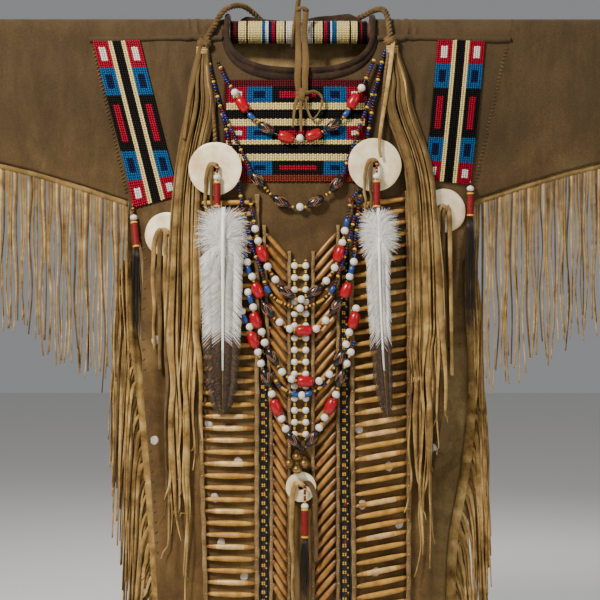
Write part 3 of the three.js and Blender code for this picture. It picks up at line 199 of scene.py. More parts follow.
def node(tree, kind, **values):
    made = tree.nodes.new(kind)
    for key, value in values.items():
        if key in made.inputs:
            made.inputs[key].default_value = value
        else:
            setattr(made, key, value)
    return made


def dress(shader, values):
    for key, value in values.items():
        shader.inputs[key].default_value = value


def ramp(tree, source, stops):
    made = tree.nodes.new("ShaderNodeValToRGB")
    items = made.color_ramp.elements
    while len(items) < len(stops):
        items.new(0.5)
    for item, (place, colour) in zip(items, stops):
        item.position = place
        item.color = (*colour, 1)
    tree.links.new(source, made.inputs["Fac"])
    return made.outputs["Color"]


def noise_of(tree, scale, detail=3.0, rough=0.6, stretch=None, distort=0.0):
    coord = tree.nodes.new("ShaderNodeTexCoord")
    made = node(tree, "ShaderNodeTexNoise", Scale=scale, Detail=detail, Roughness=rough, Distortion=distort)
    if stretch:
        mapping = tree.nodes.new("ShaderNodeMapping")
        mapping.inputs["Scale"].default_value = stretch
        tree.links.new(coord.outputs["Object"], mapping.inputs["Vector"])
        tree.links.new(mapping.outputs["Vector"], made.inputs["Vector"])
    else:
        tree.links.new(coord.outputs["Object"], made.inputs["Vector"])
    return made.outputs["Fac"]


def mix(tree, factor, a, b, mode="MIX"):
    made = tree.nodes.new("ShaderNodeMix")
    made.data_type = "RGBA"
    made.blend_type = mode
    if isinstance(factor, float):
        made.inputs[0].default_value = factor
    else:
        tree.links.new(factor, made.inputs[0])
    for slot, value in ((6, a), (7, b)):
        if isinstance(value, tuple):
            made.inputs[slot].default_value = (*value, 1)
        else:
            tree.links.new(value, made.inputs[slot])
    return made.outputs[2]


def bump(tree, shader, height, strength, distance):
    made = node(tree, "ShaderNodeBump", Strength=strength, Distance=distance)
    tree.links.new(height, made.inputs["Height"])
    tree.links.new(made.outputs["Normal"], shader.inputs["Normal"])


def leather(name, low, mid, high, rough=0.92, scale=9.0, grain=420.0, depth=0.0006, painted_top_shade=None):
    """Hide: mottled colour, worn patches and a fine nap; the last argument, if given, paints shade: a darker
    colour over the upper part.
    """
    mat, tree, shader = material(name)
    blotches = noise_of(tree, scale, 5, 0.62, distort=0.6)
    patches = ramp(tree, blotches, [(0.30, low), (0.50, mid), (0.72, high)])
    fine = noise_of(tree, grain, 4, 0.7)
    speck = ramp(tree, fine, [(0.30, (0.55, 0.55, 0.55)), (0.62, (1, 1, 1))])
    colour = mix(tree, 0.75, patches, speck, "MULTIPLY")
    wear = noise_of(tree, 30, 4, 0.7, (1.0, 1.0, 0.22), 0.4)
    streak = ramp(tree, wear, [(0.34, (0.62, 0.60, 0.58)), (0.58, (1, 1, 1))])
    colour = mix(tree, 0.8, colour, streak, "MULTIPLY")
    # Painted shade: from z start up to z end the colour is mixed more and more towards a darker top colour.
    if painted_top_shade:
        top, start, end, amount = painted_top_shade
        coord = tree.nodes.new("ShaderNodeTexCoord")
        split = tree.nodes.new("ShaderNodeSeparateXYZ")
        tree.links.new(coord.outputs["Object"], split.inputs[0])
        spread = node(tree, "ShaderNodeMapRange", **{"From Min": start, "From Max": end, "To Max": amount})
        tree.links.new(split.outputs["Z"], spread.inputs["Value"])
        darker = mix(tree, 0.85, top, speck, "MULTIPLY")
        darker = mix(tree, 0.7, darker, streak, "MULTIPLY")
        colour = mix(tree, spread.outputs[0], colour, darker)
    tree.links.new(colour, shader.inputs["Base Color"])
    dress(shader, {"Roughness": rough, "Specular IOR Level": 0.18, "Sheen Weight": 0.05,
                   "Sheen Roughness": 0.6})
    bump(tree, shader, fine, 0.55, depth)
    return mat


def glassy(name, low, high, rough=0.28, scale=700.0, specular=0.5, metal=0.0, depth=0.0002, detail=2):
    """Glass, shell, bone or metal: a little variation from bead to bead and faint pits."""
    mat, tree, shader = material(name)
    vary = noise_of(tree, scale, detail, 0.6)
    tree.links.new(ramp(tree, vary, [(0.32, low), (0.68, high)]), shader.inputs["Base Color"])
    dress(shader, {"Roughness": rough, "Specular IOR Level": specular, "Metallic": metal})
    bump(tree, shader, noise_of(tree, 1500, 2, 0.6), 0.25, depth)
    return mat


# Painted shade: the darker colour that both hides turn to towards the yoke at the top.
HIDE_TOP_SHADE = (0.066, 0.042, 0.018)
M_HIDE = leather("smoked_hide", (0.060, 0.031, 0.009), (0.140, 0.080, 0.026), (0.255, 0.158, 0.060), scale=8,
                 painted_top_shade=(HIDE_TOP_SHADE, -0.70, -0.24, 0.92))
M_BACK = leather("back_hide", (0.090, 0.054, 0.020), (0.175, 0.112, 0.046), (0.290, 0.198, 0.090), scale=7,
                 painted_top_shade=(HIDE_TOP_SHADE, -0.60, -0.20, 0.9))
M_INSIDE = leather("inner_hide", (0.150, 0.094, 0.034), (0.270, 0.180, 0.072), (0.390, 0.275, 0.125),
                   scale=16)
M_COLLAR = leather("collar_hide", (0.014, 0.006, 0.002), (0.028, 0.013, 0.005), (0.058, 0.030, 0.011),
                   rough=0.8, scale=40)
M_THONG = leather("thong", (0.190, 0.104, 0.030), (0.430, 0.272, 0.094), (0.690, 0.490, 0.215), scale=30,
                  grain=600, depth=0.0004)
# Painted shade: whatever uses this leather turns darker towards the top, above z -0.60.
M_FRINGE = leather("fringe", (0.120, 0.062, 0.014), (0.400, 0.246, 0.076), (0.720, 0.505, 0.200), scale=26,
                   grain=600, depth=0.0004, painted_top_shade=((0.120, 0.072, 0.024), -0.60, -0.22, 0.9))
M_DARK_THONG = leather("dark_thong", (0.064, 0.035, 0.011), (0.135, 0.080, 0.028), (0.230, 0.148, 0.058),
                       scale=30, grain=600, depth=0.0004)
M_SPACER = leather("spacer_hide", (0.120, 0.068, 0.024), (0.230, 0.142, 0.054), (0.360, 0.240, 0.105),
                   scale=40)
M_WHITE = glassy("white_beads", (0.56, 0.51, 0.42), (0.86, 0.83, 0.76), 0.25)
M_RED = glassy("red_beads", (0.220, 0.000, 0.004), (0.440, 0.001, 0.010), 0.22)
M_MAROON = glassy("maroon_beads", (0.046, 0.002, 0.004), (0.100, 0.007, 0.011), 0.35)
M_BLUE = glassy("blue_beads", (0.004, 0.026, 0.120), (0.014, 0.070, 0.290), 0.3)
M_NAVY = glassy("navy_beads", (0.004, 0.006, 0.055), (0.014, 0.018, 0.170), 0.25)
M_BLACK = glassy("black_beads", (0.004, 0.0035, 0.0035), (0.015, 0.012, 0.011), 0.22)
# Stitches of the beadwork: low and high colour of each, in the order that the patterns number them
STITCH = {"red": ((0.180, 0.001, 0.009), (0.380, 0.004, 0.030)),
          "white": ((0.56, 0.51, 0.42), (0.84, 0.80, 0.72)),
          "blue": ((0.003, 0.045, 0.140), (0.008, 0.110, 0.300)),
          "navy": ((0.001, 0.003, 0.020), (0.004, 0.010, 0.055)),
          "black": ((0.002, 0.002, 0.002), (0.006, 0.005, 0.005)),
          "cream": ((0.56, 0.43, 0.15), (0.86, 0.72, 0.34)),
          "maroon": ((0.046, 0.002, 0.004), (0.100, 0.007, 0.011)),
          "rust": ((0.110, 0.012, 0.007), (0.200, 0.032, 0.015))}
M_GOLD = glassy("gold_beads", (0.42, 0.21, 0.014), (0.78, 0.49, 0.050), 0.3)
M_CORAL = glassy("coral_trail", (0.40, 0.070, 0.030), (0.60, 0.16, 0.07), 0.4)
M_SHELL = glassy("shell", (0.60, 0.430, 0.200), (0.99, 0.900, 0.660), 0.36, scale=26, detail=7, depth=0.0005)
M_BONE = glassy("bone", (0.300, 0.140, 0.022), (0.520, 0.300, 0.066), 0.42, scale=60, specular=0.28)
M_AMBER = glassy("amber_bone", (0.180, 0.070, 0.010), (0.380, 0.185, 0.038), 0.3, scale=60)
M_BONE_PALE = glassy("pale_bone", (0.400, 0.215, 0.058), (0.720, 0.485, 0.195), 0.3, scale=60)
M_BONE_INNER = glassy("inner_bone", (0.190, 0.074, 0.014), (0.430, 0.208, 0.050), 0.28, scale=60)
M_BONE_DARK = glassy("dark_bone", (0.080, 0.028, 0.007), (0.180, 0.072, 0.020), 0.3, scale=60)
M_QUILL = glassy("quill_wrap", (0.110, 0.004, 0.005), (0.250, 0.015, 0.013), 0.55, scale=500, specular=0.2)
M_BRASS = glassy("old_brass", (0.160, 0.090, 0.024), (0.42, 0.27, 0.095), 0.34, scale=120, metal=0.9)
M_BELL_SLIT_SHADE = glassy("bell_slit_shade", (0.012, 0.009, 0.006), (0.030, 0.022, 0.015), 0.6)
M_HAIR = glassy("horsehair", (0.006, 0.004, 0.003), (0.030, 0.019, 0.011), 0.42, scale=400)
M_VANE = glassy("feather_vane", (0.76, 0.72, 0.67), (0.96, 0.94, 0.91), 0.75, scale=260, specular=0.15)
M_VANE_GREY = glassy("feather_grey", (0.40, 0.365, 0.33), (0.64, 0.60, 0.56), 0.75, scale=300,
                     specular=0.15)
M_VANE_DARK = glassy("feather_tip", (0.028, 0.017, 0.010), (0.085, 0.055, 0.036), 0.6, scale=300,
                     specular=0.2)
M_SHAFT = glassy("feather_shaft", (0.84, 0.80, 0.74), (0.96, 0.94, 0.90), 0.4)
M_DOWN = glassy("down", (0.92, 0.90, 0.88), (0.99, 0.98, 0.97), 0.9, scale=200, specular=0.1)
for soft in (M_VANE, M_DOWN):
    dress(soft.node_tree.nodes["Principled BSDF"],
          {"Subsurface Weight": 0.6, "Subsurface Radius": (0.01, 0.01, 0.01)})
M_WOOD = leather("rod_wood", (0.060, 0.026, 0.013), (0.110, 0.050, 0.025), (0.180, 0.092, 0.048), rough=0.5,
                 scale=30)
M_THREAD = leather("sinew", (0.26, 0.19, 0.10), (0.38, 0.29, 0.16), (0.50, 0.40, 0.25), scale=60)
M_PAINT = leather("white_paint", (0.42, 0.38, 0.31), (0.62, 0.58, 0.50), (0.78, 0.74, 0.67), scale=160)


class Build:
    """Collects vertices and faces, with a material number for each face."""

    def __init__(self):
        self.verts = []
        self.faces = []
        self.mats = []

    def point(self, p):
        self.verts.append(tuple(p))
        return len(self.verts) - 1

    def face(self, ids, mat=0):
        self.faces.append(ids)
        self.mats.append(mat)

    def ring(self, points):
        return [self.point(p) for p in points]

    def band(self, a, b, mat=0):
        n = len(a)
        for i in range(n):
            j = (i + 1) % n
            self.face((a[i], a[j], b[j], b[i]), mat)

    def cap(self, ids, mat=0, flip=False):
        self.face(tuple(reversed(ids)) if flip else tuple(ids), mat)

    def loft(self, rings, mats=None, closed=False):
        """Rings of points joined in turn; mats gives each band's material."""
        ids = [self.ring(r) for r in rings]
        for k in range(len(ids) - 1):
            self.band(ids[k], ids[k + 1], mats[k] if mats else 0)
        first = mats[0] if mats else 0
        last = mats[-1] if mats else 0
        if closed:
            self.band(ids[-1], ids[0], last)
        else:
            self.cap(ids[0], first, True)
            self.cap(ids[-1], last)
        return ids

    def object(self, name, mats, sharp=None, slot=None, replaces=(), body="root"):
        mesh = bpy.data.meshes.new(name)
        mesh.from_pydata(self.verts, [], self.faces)
        for mat in mats:
            mesh.materials.append(mat)
        mesh.polygons.foreach_set("material_index", self.mats)
        mesh.polygons.foreach_set("use_smooth", [True] * len(self.faces))
        mesh.update()
        made = bpy.data.objects.new(name, mesh)
        bpy.context.collection.objects.link(made)
        outward(made)
        if sharp:
            mesh.set_sharp_from_angle(angle=math.radians(sharp))
        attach(made, body)
        if replaces:
            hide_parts(*replaces)
        return made


def outward(obj):
    """Turns every closed shell's faces outward."""
    bm = bmesh.new()
    bm.from_mesh(obj.data)
    bmesh.ops.recalc_face_normals(bm, faces=bm.faces)
    bm.to_mesh(obj.data)
    bm.free()


# Creases, given one by one on top of the CAD's folds: start x, z, end x, z, depth, half width
CREASES = [
    (-0.292, -0.132, -0.205, -0.190, 0.0040, 0.007), (-0.270, -0.128, -0.188, -0.215, -0.0030, 0.007),
    (-0.205, -0.128, -0.192, -0.250, 0.0045, 0.006), (-0.182, -0.128, -0.176, -0.240, -0.0030, 0.005),
    (0.150, -0.128, 0.166, -0.230, 0.0045, 0.006), (0.172, -0.128, 0.190, -0.250, -0.0035, 0.006),
    (0.196, -0.128, 0.208, -0.270, 0.0040, 0.006), (0.240, -0.120, 0.206, -0.200, 0.0035, 0.007),
    (-0.140, -0.200, -0.155, -0.330, 0.0030, 0.007), (0.130, -0.190, 0.150, -0.330, 0.0030, 0.007),
    (-0.252, -0.440, -0.236, -0.640, 0.0060, 0.010), (-0.230, -0.560, -0.226, -0.820, -0.0045, 0.010),
    (-0.212, -0.640, -0.204, -0.900, 0.0050, 0.010), (-0.244, -0.760, -0.232, -1.060, 0.0050, 0.011),
    (-0.190, -0.780, -0.186, -1.100, -0.0040, 0.010), (-0.218, -0.880, -0.206, -1.110, 0.0055, 0.010),
    (0.236, -0.460, 0.226, -0.660, 0.0060, 0.010), (0.216, -0.540, 0.212, -0.800, -0.0045, 0.009),
    (0.232, -0.700, 0.216, -0.960, 0.0055, 0.010), (0.204, -0.700, 0.198, -0.930, 0.0045, 0.009),
    (0.196, -0.860, 0.192, -1.100, -0.0040, 0.009), (0.216, -0.960, 0.206, -1.115, 0.0050, 0.010),
    (-0.120, -0.980, -0.112, -1.118, 0.0040, 0.012), (0.110, -0.960, 0.118, -1.118, 0.0040, 0.012),
    (-0.020, -1.000, -0.028, -1.118, 0.0035, 0.013), (0.055, -1.010, 0.060, -1.118, -0.0030, 0.011),
]


def crease_at(x, z):
    total = 0.0
    for x0, z0, x1, z1, depth, half in CREASES:
        dx, dz = x1 - x0, z1 - z0
        length = math.hypot(dx, dz)
        t = ((x - x0) * dx + (z - z0) * dz) / (length * length)
        if not 0 < t < 1:
            continue
        wander = 0.004 * math.sin(11 * t + 40 * x0)
        off = (((x - x0) * dz - (z - z0) * dx) / length + wander) / half
        if abs(off) < 3:
            total += depth * math.exp(-off * off) * math.sin(math.pi * t) ** 0.7
    return total


def hide_lift(x, z, seed):
    """Small swells of a hide that was never pressed flat."""
    broad = noise.noise(Vector((x * 7 + seed, z * 5, seed)))
    small = noise.noise(Vector((x * 26 + seed, z * 17, seed + 3)))
    return 0.0016 * broad + 0.0007 * small


# Nothing swells under what lies on the hide: boxes of x and z that stay at the CAD's depth
FLAT = [(-0.200, 0.195, -1.120, -0.380), (-0.150, 0.140, -0.400, -0.180), (-0.275, -0.190, -0.510, -0.415),
        (0.200, 0.290, -0.470, -0.370)]
CALM_EDGE = 0.012
# The shoulder strips: name, side, top x, bottom x, bottom z, tilt in degrees, seat
STRIPS = [("strip_left", -1, -0.314, -0.245, -0.404, 14.5, 0.0019),
          ("strip_right", 1, 0.276, 0.253, -0.371, 5.3, 0.0012)]
STRIP_WIDTH = 0.082
STRIP_TOP = ROD_Z - YOKE_DROP - 0.003


def calm(x, z):
    """1 where the hide may swell, 0 under flat pieces, with a soft edge between."""
    free = 1.0
    for left, right, low, high in FLAT:
        out = max(left - x, x - right, low - z, z - high)
        free = min(free, clamp(out / CALM_EDGE))
    for _, _, top, bottom, bottom_z, _, _ in STRIPS:
        middle = lerp(bottom, top, clamp((z - bottom_z) / (STRIP_TOP - bottom_z)))
        out = max(abs(x - middle) - STRIP_WIDTH / 2 - 0.006, bottom_z - 0.02 - z)
        free = min(free, clamp(out / CALM_EDGE))
    return free


def front_skin(x, z, seed=1.0):
    free = calm(x, z)
    edge = clamp((half_width(z) - abs(x)) / 0.03)
    return crease_at(x, z) * free + hide_lift(x, z, seed) * free * edge


def sheet_shell(grid, ring=False, keep=None):
    """A hide as a thin closed shell: grid[i][j] of (point, outward normal); its inner side is material 1."""
    shell = Build()
    nu, nv = len(grid), len(grid[0])
    outer = [[shell.point(p + n * WALL / 2) for p, n in line] for line in grid]
    inner = [[shell.point(p - n * WALL / 2) for p, n in line] for line in grid]
    last = nu if ring else nu - 1
    cells = {(i, j) for i in range(last) for j in range(nv - 1) if keep is None or keep(i, j)}
    for i, j in sorted(cells):
        k = (i + 1) % nu
        shell.face((outer[i][j], outer[i][j + 1], outer[k][j + 1], outer[k][j]), 0)
        shell.face((inner[i][j], inner[k][j], inner[k][j + 1], inner[i][j + 1]), 1)
        left = (i - 1) % nu if ring else i - 1
        if (left, j) not in cells:
            shell.face((outer[i][j], inner[i][j], inner[i][j + 1], outer[i][j + 1]), 0)
        right = (i + 1) % nu if ring else i + 1
        if (right, j) not in cells:
            shell.face((outer[k][j], outer[k][j + 1], inner[k][j + 1], inner[k][j]), 0)
        if (i, j - 1) not in cells:
            shell.face((outer[i][j], outer[k][j], inner[k][j], inner[i][j]), 0)
        if (i, j + 1) not in cells:
            shell.face((outer[i][j + 1], inner[i][j + 1], inner[k][j + 1], outer[k][j + 1]), 0)
    return shell


def with_normals(points, flip=False, ring=False):
    """Adds to each point of a grid the surface's normal there."""
    nu, nv = len(points), len(points[0])
    out = []
    for i in range(nu):
        line = []
        for j in range(nv):
            a = points[(i + 1) % nu if ring else min(i + 1, nu - 1)][j]
            b = points[(i - 1) % nu if ring else max(i - 1, 0)][j]
            c, d = points[i][min(j + 1, nv - 1)], points[i][max(j - 1, 0)]
            n = (a - b).cross(c - d)
            if n.length < 1e-12:
                n = OUT.copy()
            n.normalize()
            line.append((points[i][j], -n if flip else n))
        out.append(line)
    return out


# Front hide: cells down and across, where its hem starts to run uneven, and its gap to the collar's band
FRONT_ROWS, FRONT_COLUMNS = 150, 130
UNEVEN_BELOW = -1.05
NECK_GAP = 0.0016


def build_front():
    seam = ROD_Z - YOKE_DROP - SEAM
    down = [lerp(seam, FRONT_HEM, k / FRONT_ROWS) for k in range(FRONT_ROWS + 1)]
    across = [k / FRONT_COLUMNS for k in range(FRONT_COLUMNS + 1)]
    half, drop = BAND_HALF + NECK_GAP, BAND_DROP + NECK_GAP
    points = []
    for u in across:
        line = []
        for z in down:
            x = lerp(edge_at(FRONT_EDGES, -1, z), edge_at(FRONT_EDGES, 1, z), u)
            uneven = 0.0
            if z < UNEVEN_BELOW:
                uneven = (z - UNEVEN_BELOW) / 0.07 * (0.006 * noise.noise(Vector((x * 12, 4, 2))) + 0.003)
            line.append(Vector((x, -front_depth(x, z) - front_skin(x, z), z - uneven)))
        points.append(line)
    grid = with_normals(points, flip=True)

    def keep(i, j):
        p = (points[i][j] + points[i + 1][j + 1]) / 2
        return abs(p.x) >= half or p.z < neckline(p.x, half, drop)

    # The cells beside the neckline are pulled to it, so the cut edge runs smooth
    for i in range(len(points)):
        for j in range(len(points[0])):
            p, n = grid[i][j]
            if abs(p.x) < BAND_HALF + 0.006 and p.z > -0.21:
                edge = neckline(clamp(p.x, -BAND_HALF, BAND_HALF), half, drop)
                if abs(p.z - edge) < 0.0034:
                    grid[i][j] = (Vector((p.x, -front_depth(p.x, edge) - front_skin(p.x, edge), edge)), n)
    shell = sheet_shell(grid, keep=keep)
    return shell.object("front_hide_leather", [M_HIDE, M_INSIDE], sharp=50, slot="hide",
                        replaces=["front_hide"])


front = build_front()


# Back hide: from the ridge seam on the front, over the rod and down the back
BACK_ROWS, BACK_COLUMNS = 130, 160


def build_back():
    arc = math.pi * OVER_ROD
    along = [0, 0.005, 0.010, 0.0148]
    along += [YOKE_DROP + arc * k / 16 for k in range(17)]
    along += [YOKE_DROP + arc + (ROD_Z - BACK_HEM) * k / BACK_ROWS for k in range(1, BACK_ROWS + 1)]
    across = [k / BACK_COLUMNS for k in range(BACK_COLUMNS + 1)]

    def place_at(z, u):
        return lerp(edge_at(BACK_EDGES, -1, z), edge_at(BACK_EDGES, 1, z), u)

    def pucker(x):
        """Gathers of the hide under the cord's knots."""
        near = math.exp(-((abs(x) - 0.170) / 0.055) ** 2)
        near *= clamp((abs(x) - 0.150) / 0.008) * clamp((0.215 - abs(x)) / 0.01)
        return 0.0034 * near * max(0.0, math.sin(x * 420) + 0.4 * math.sin(x * 170 + 1))

    points = []
    for u in across:
        line = []
        for s in along:
            if s <= YOKE_DROP:
                z = ROD_Z - (YOKE_DROP - s)
                x = place_at(z, u)
                line.append(Vector((x, -front_depth(x, z) - pucker(x), z)))
            elif s < YOKE_DROP + arc:
                a = (s - YOKE_DROP) / OVER_ROD
                x = place_at(ROD_Z + OVER_ROD * math.sin(a), u)
                r = OVER_ROD + pucker(x) * clamp(math.cos(a) * 1.4)
                line.append(Vector((x, -r * math.cos(a), ROD_Z + r * math.sin(a))))
            else:
                z = ROD_Z - (s - YOKE_DROP - arc)
                x = place_at(z, u)
                free = clamp((ROD_Z - z) / 0.03) * clamp(min(x - place_at(z, 0), place_at(z, 1) - x) / 0.03)
                fold = 0.0045 * math.sin(x * 34 + 1.2) * clamp((ROD_Z - z) / 0.5) * free
                if z < -0.49 and u in (0.0, 1.0):
                    free = 0.0
                swell = hide_lift(x, z, 6.0) * free + max(0.0, fold)
                line.append(Vector((x, back_depth(x, z) + swell, z)))
        points.append(line)
    half = BAND_HALF + 0.0019

    def keep(i, j):
        p = (points[i][j] + points[i + 1][j + 1]) / 2
        front_cut = abs(p.x) < half and p.y < 0.00005 and -0.135 < p.z
        back_cut = abs(p.x) < half and p.y >= 0.0 and p.z > -0.1125
        return not (front_cut or back_cut)

    shell = sheet_shell(with_normals(points), keep=keep)
    return shell.object("back_hide_leather", [M_BACK, M_INSIDE], sharp=50, slot="hide",
                        replaces=["back_hide"])


back = build_back()


# Sleeves: hide tubes round the rod. Share of the way to the cuff, height of the seam, bulge
SLEEVE = [(0, -0.400, 0), (0.15, -0.376, 0.003), (0.35, -0.349, 0.005), (0.6, -0.322, 0.004),
          (0.82, -0.304, 0.003), (1, CUFF_BOTTOM, 0.003)]
SLEEVE_STEPS, SLEEVE_DROPS, ROD_STEPS = 90, 26, 12


def sleeve_row(u):
    for (a, za, ba), (b, zb, bb) in zip(SLEEVE, SLEEVE[1:]):
        if u <= b:
            t = (u - a) / (b - a)
            return lerp(za, zb, t), lerp(ba, bb, t)
    return SLEEVE[-1][1:]


def build_sleeve(side, name):
    drops = [smooth(k / SLEEVE_DROPS) * 0.99 for k in range(SLEEVE_DROPS + 1)]
    rings = []
    for k in range(SLEEVE_STEPS + 1):
        u = k / SLEEVE_STEPS
        bottom, bulge = sleeve_row(u)

        def reach(z):
            return lerp(armhole(max(z, ARMPIT_Z)) + SEAM, CUFF_X, u) * side

        def depth(v):
            base = lerp(OVER_ROD, ARMPIT_DEPTH, closing(v))
            free = clamp(u / 0.06) * math.sin(math.pi * clamp(v)) ** 0.5
            ruck = max(0.0, math.sin(18 * u + 5.0 * v + 1.3 * math.sin(7 * v)))
            swell = bulge * math.sin(math.pi * v) ** 2 * (1 + 0.5 * math.sin(9 * u + 4 * v))
            return base + swell + 0.0042 * ruck * free * (1 - 0.4 * u)

        ring = [Vector((0, -depth(v), lerp(ROD_Z, bottom, v))) for v in drops]
        ring.append(Vector((0, 0, bottom)))
        ring += [Vector((0, depth(v), lerp(ROD_Z, bottom, v))) for v in reversed(drops)]
        for i in range(1, ROD_STEPS):
            a = math.pi * i / ROD_STEPS
            ring.append(Vector((0, OVER_ROD * math.cos(a), ROD_Z + OVER_ROD * math.sin(a))))
        rings.append([Vector((reach(p.z), p.y, p.z)) for p in ring])
    points = [[ring[i] for ring in rings] for i in range(len(rings[0]))]
    shell = sheet_shell(with_normals(points, flip=side < 0, ring=True), ring=True)
    made = shell.object(f"sleeve_{name}_leather", [M_HIDE, M_INSIDE], sharp=60, slot="hide",
                        replaces=[f"sleeve_{name}"])


SIDES = ((-1, "left"), (1, "right"))
for side, name in SIDES:
    build_sleeve(side, name)


def frame_along(points, closed=False):
    """Directions along a line of points, with two cross directions that turn as little as they can."""
    n = len(points)
    out = []
    side = None
    for i in range(n):
        a = points[(i - 1) % n] if closed else points[max(0, i - 1)]
        b = points[(i + 1) % n] if closed else points[min(n - 1, i + 1)]
        way = (b - a).normalized()
        if side is None:
            side = OUT - way * OUT.dot(way)
            if side.length < 0.1:
                side = Vector((1, 0, 0)) - way * way.x
        side = side - way * side.dot(way)
        side.normalize()
        out.append((way, side.copy(), way.cross(side)))
    return out


SPLINE_STEPS = 16


def spline(points, count, closed=False):
    """Evenly spaced points on a smooth curve through the given ones."""
    n = len(points)
    dense = []
    for k in range(n if closed else n - 1):
        if closed:
            p = [points[(k + i - 1) % n] for i in range(4)]
        else:
            p = [points[max(0, min(n - 1, k + i - 1))] for i in range(4)]
        for s in range(SPLINE_STEPS):
            t = s / SPLINE_STEPS
            bend = 2 * p[0] - 5 * p[1] + 4 * p[2] - p[3]
            twist = 3 * p[1] - p[0] - 3 * p[2] + p[3]
            dense.append(0.5 * ((2 * p[1]) + (p[2] - p[0]) * t + bend * t * t + twist * t ** 3))
    dense.append(points[0].copy() if closed else points[-1].copy())
    lengths = [0.0]
    for a, b in zip(dense, dense[1:]):
        lengths.append(lengths[-1] + (b - a).length)
    out = []
    k = 0
    total = count if closed else count - 1
    for i in range(count):
        want = lengths[-1] * i / total
        while k < len(lengths) - 2 and lengths[k + 1] < want:
            k += 1
        span = max(1e-9, lengths[k + 1] - lengths[k])
        out.append(dense[k].lerp(dense[k + 1], (want - lengths[k]) / span))
    return out


def round_ring(mid, u, v, radius, sides):
    angles = [TURN * k / sides for k in range(sides)]
    return [mid + (u * math.cos(a) + v * math.sin(a)) * radius for a in angles]


def tube(build, points, radius, sides=8, mat=0, closed=False):
    """A round cord along the points; radius is a number, or gives one from the share of the way."""
    rings = []
    for i, (p, (_, u, v)) in enumerate(zip(points, frame_along(points, closed))):
        r = radius(i / (len(points) - 1)) if callable(radius) else radius
        rings.append(round_ring(p, u, v, r, sides))
    build.loft(rings, [mat] * (len(rings) - (0 if closed else 1)), closed)


STRAP_SECTION = ((-1, 0), (-0.8, -1), (0.8, -1), (1, 0), (0.8, 1), (-0.8, 1))


def strap(build, points, width, thick=0.0016, mat=0, wide=Vector((1, 0, 0)), twist=0.0, phase=0.0):
    """A flat thong: a thin strip with rounded edges that follows the points, and can turn on itself."""
    rings = []
    n = len(points)
    h = thick / 2
    for i, (p, (way, _, _)) in enumerate(zip(points, frame_along(points))):
        t = i / (n - 1)
        w = width(t) if callable(width) else width
        across = wide - way * wide.dot(way)
        if across.length < 0.05:
            across = Vector((0, 1, 0)) - way * way.y
        across.normalize()
        up = way.cross(across)
        a = phase + twist * t
        u = across * math.cos(a) + up * math.sin(a)
        v = up * math.cos(a) - across * math.sin(a)
        rings.append([p + u * (w / 2) * cx + v * h * cy for cx, cy in STRAP_SECTION])
    build.loft(rings, [mat] * (n - 1))


def twisted(build, points, radius, turns, mats=(0, 0)):
    """A cord of strands laid round each other along the points, one strand for each material."""
    frames = frame_along(points)
    lengths = [0.0]
    for a, b in zip(points, points[1:]):
        lengths.append(lengths[-1] + (b - a).length)
    for s, mat in enumerate(mats):
        path = []
        for p, gone, (_, u, v) in zip(points, lengths, frames):
            a = TURN * (turns * gone / lengths[-1] + s / len(mats))
            path.append(p + (u * math.cos(a) + v * math.sin(a)) * radius * 0.5)
        tube(build, path, lambda t: radius * 0.56 * (1 if 0.01 < t < 0.99 else 0.6), 6, mat)


def lathe(build, centre, way, profile, sides, mat):
    """A turned piece: profile of (distance along, radius); mat is one number, or one for each band."""
    way = way.normalized()
    side = OUT - way * -way.y
    if side.length < 0.1:
        side = UP.copy()
    side.normalize()
    other = way.cross(side)
    rings = []
    for t, r in profile:
        rings.append([centre + way * t + side * (math.cos(TURN * k / sides) * r)
                      + other * (math.sin(TURN * k / sides) * r) for k in range(sides)])
    build.loft(rings, mat if isinstance(mat, list) else [mat] * (len(rings) - 1))


def bead_profile(half, radius, steps=5):
    """Round-ended bead from one end to the other."""
    out = []
    for k in range(steps + 1):
        a = math.pi * (0.12 + 0.76 * k / steps)
        out.append((-half * math.cos(a) / math.cos(math.pi * 0.12), radius * math.sin(a)))
    return out


# Welt along the ridge seam, gathered near the knots
WELT_RADIUS = 0.0046
welt = Build()
for side in (-1, 1):
    path = []
    for k in range(81):
        x = side * lerp(0.1325, 0.360, k / 80)
        near = math.exp(-((abs(x) - 0.17) / 0.03) ** 2)
        z = ROD_Z - YOKE_DROP - SEAM + 0.0016 * near * math.sin(k * 0.8) + 0.0014 * math.sin(k * 0.07)
        path.append(Vector((x, -front_depth(x, z) - 0.0018 - 0.0016 * near, z)))
    tube(welt, path, lambda t: WELT_RADIUS + 0.0006 * math.sin(9 * t), 12)
welt.object("ridge_welt", [M_HIDE], slot="hide")


# Beadwork: every stitch is a small cushion whose sloping rim is painted in a darker copy of its colour, as
# painted shade between the beads; a pattern function gives its colour
RED, WHITE, BLUE, NAVY, BLACK, CREAM, MAROON, RUST = range(8)
BEAD_MATS = [glassy("stitch_" + name, low, high, 0.6, specular=0.12) for name, (low, high) in STITCH.items()]
# Painted shade: darker copies of each stitch colour, at a quarter and near a half of its brightness, for the
# grooves between beads.
for name, (low, _) in STITCH.items():
    shades = [tuple(c * share for c in low) for share in (0.25, 0.45)]
    BEAD_MATS.append(glassy("shaded_groove_" + name, *shades, 0.8, specular=0.05))
CUSHION = ((-1, -1), (-1, 1), (1, 1), (1, -1))


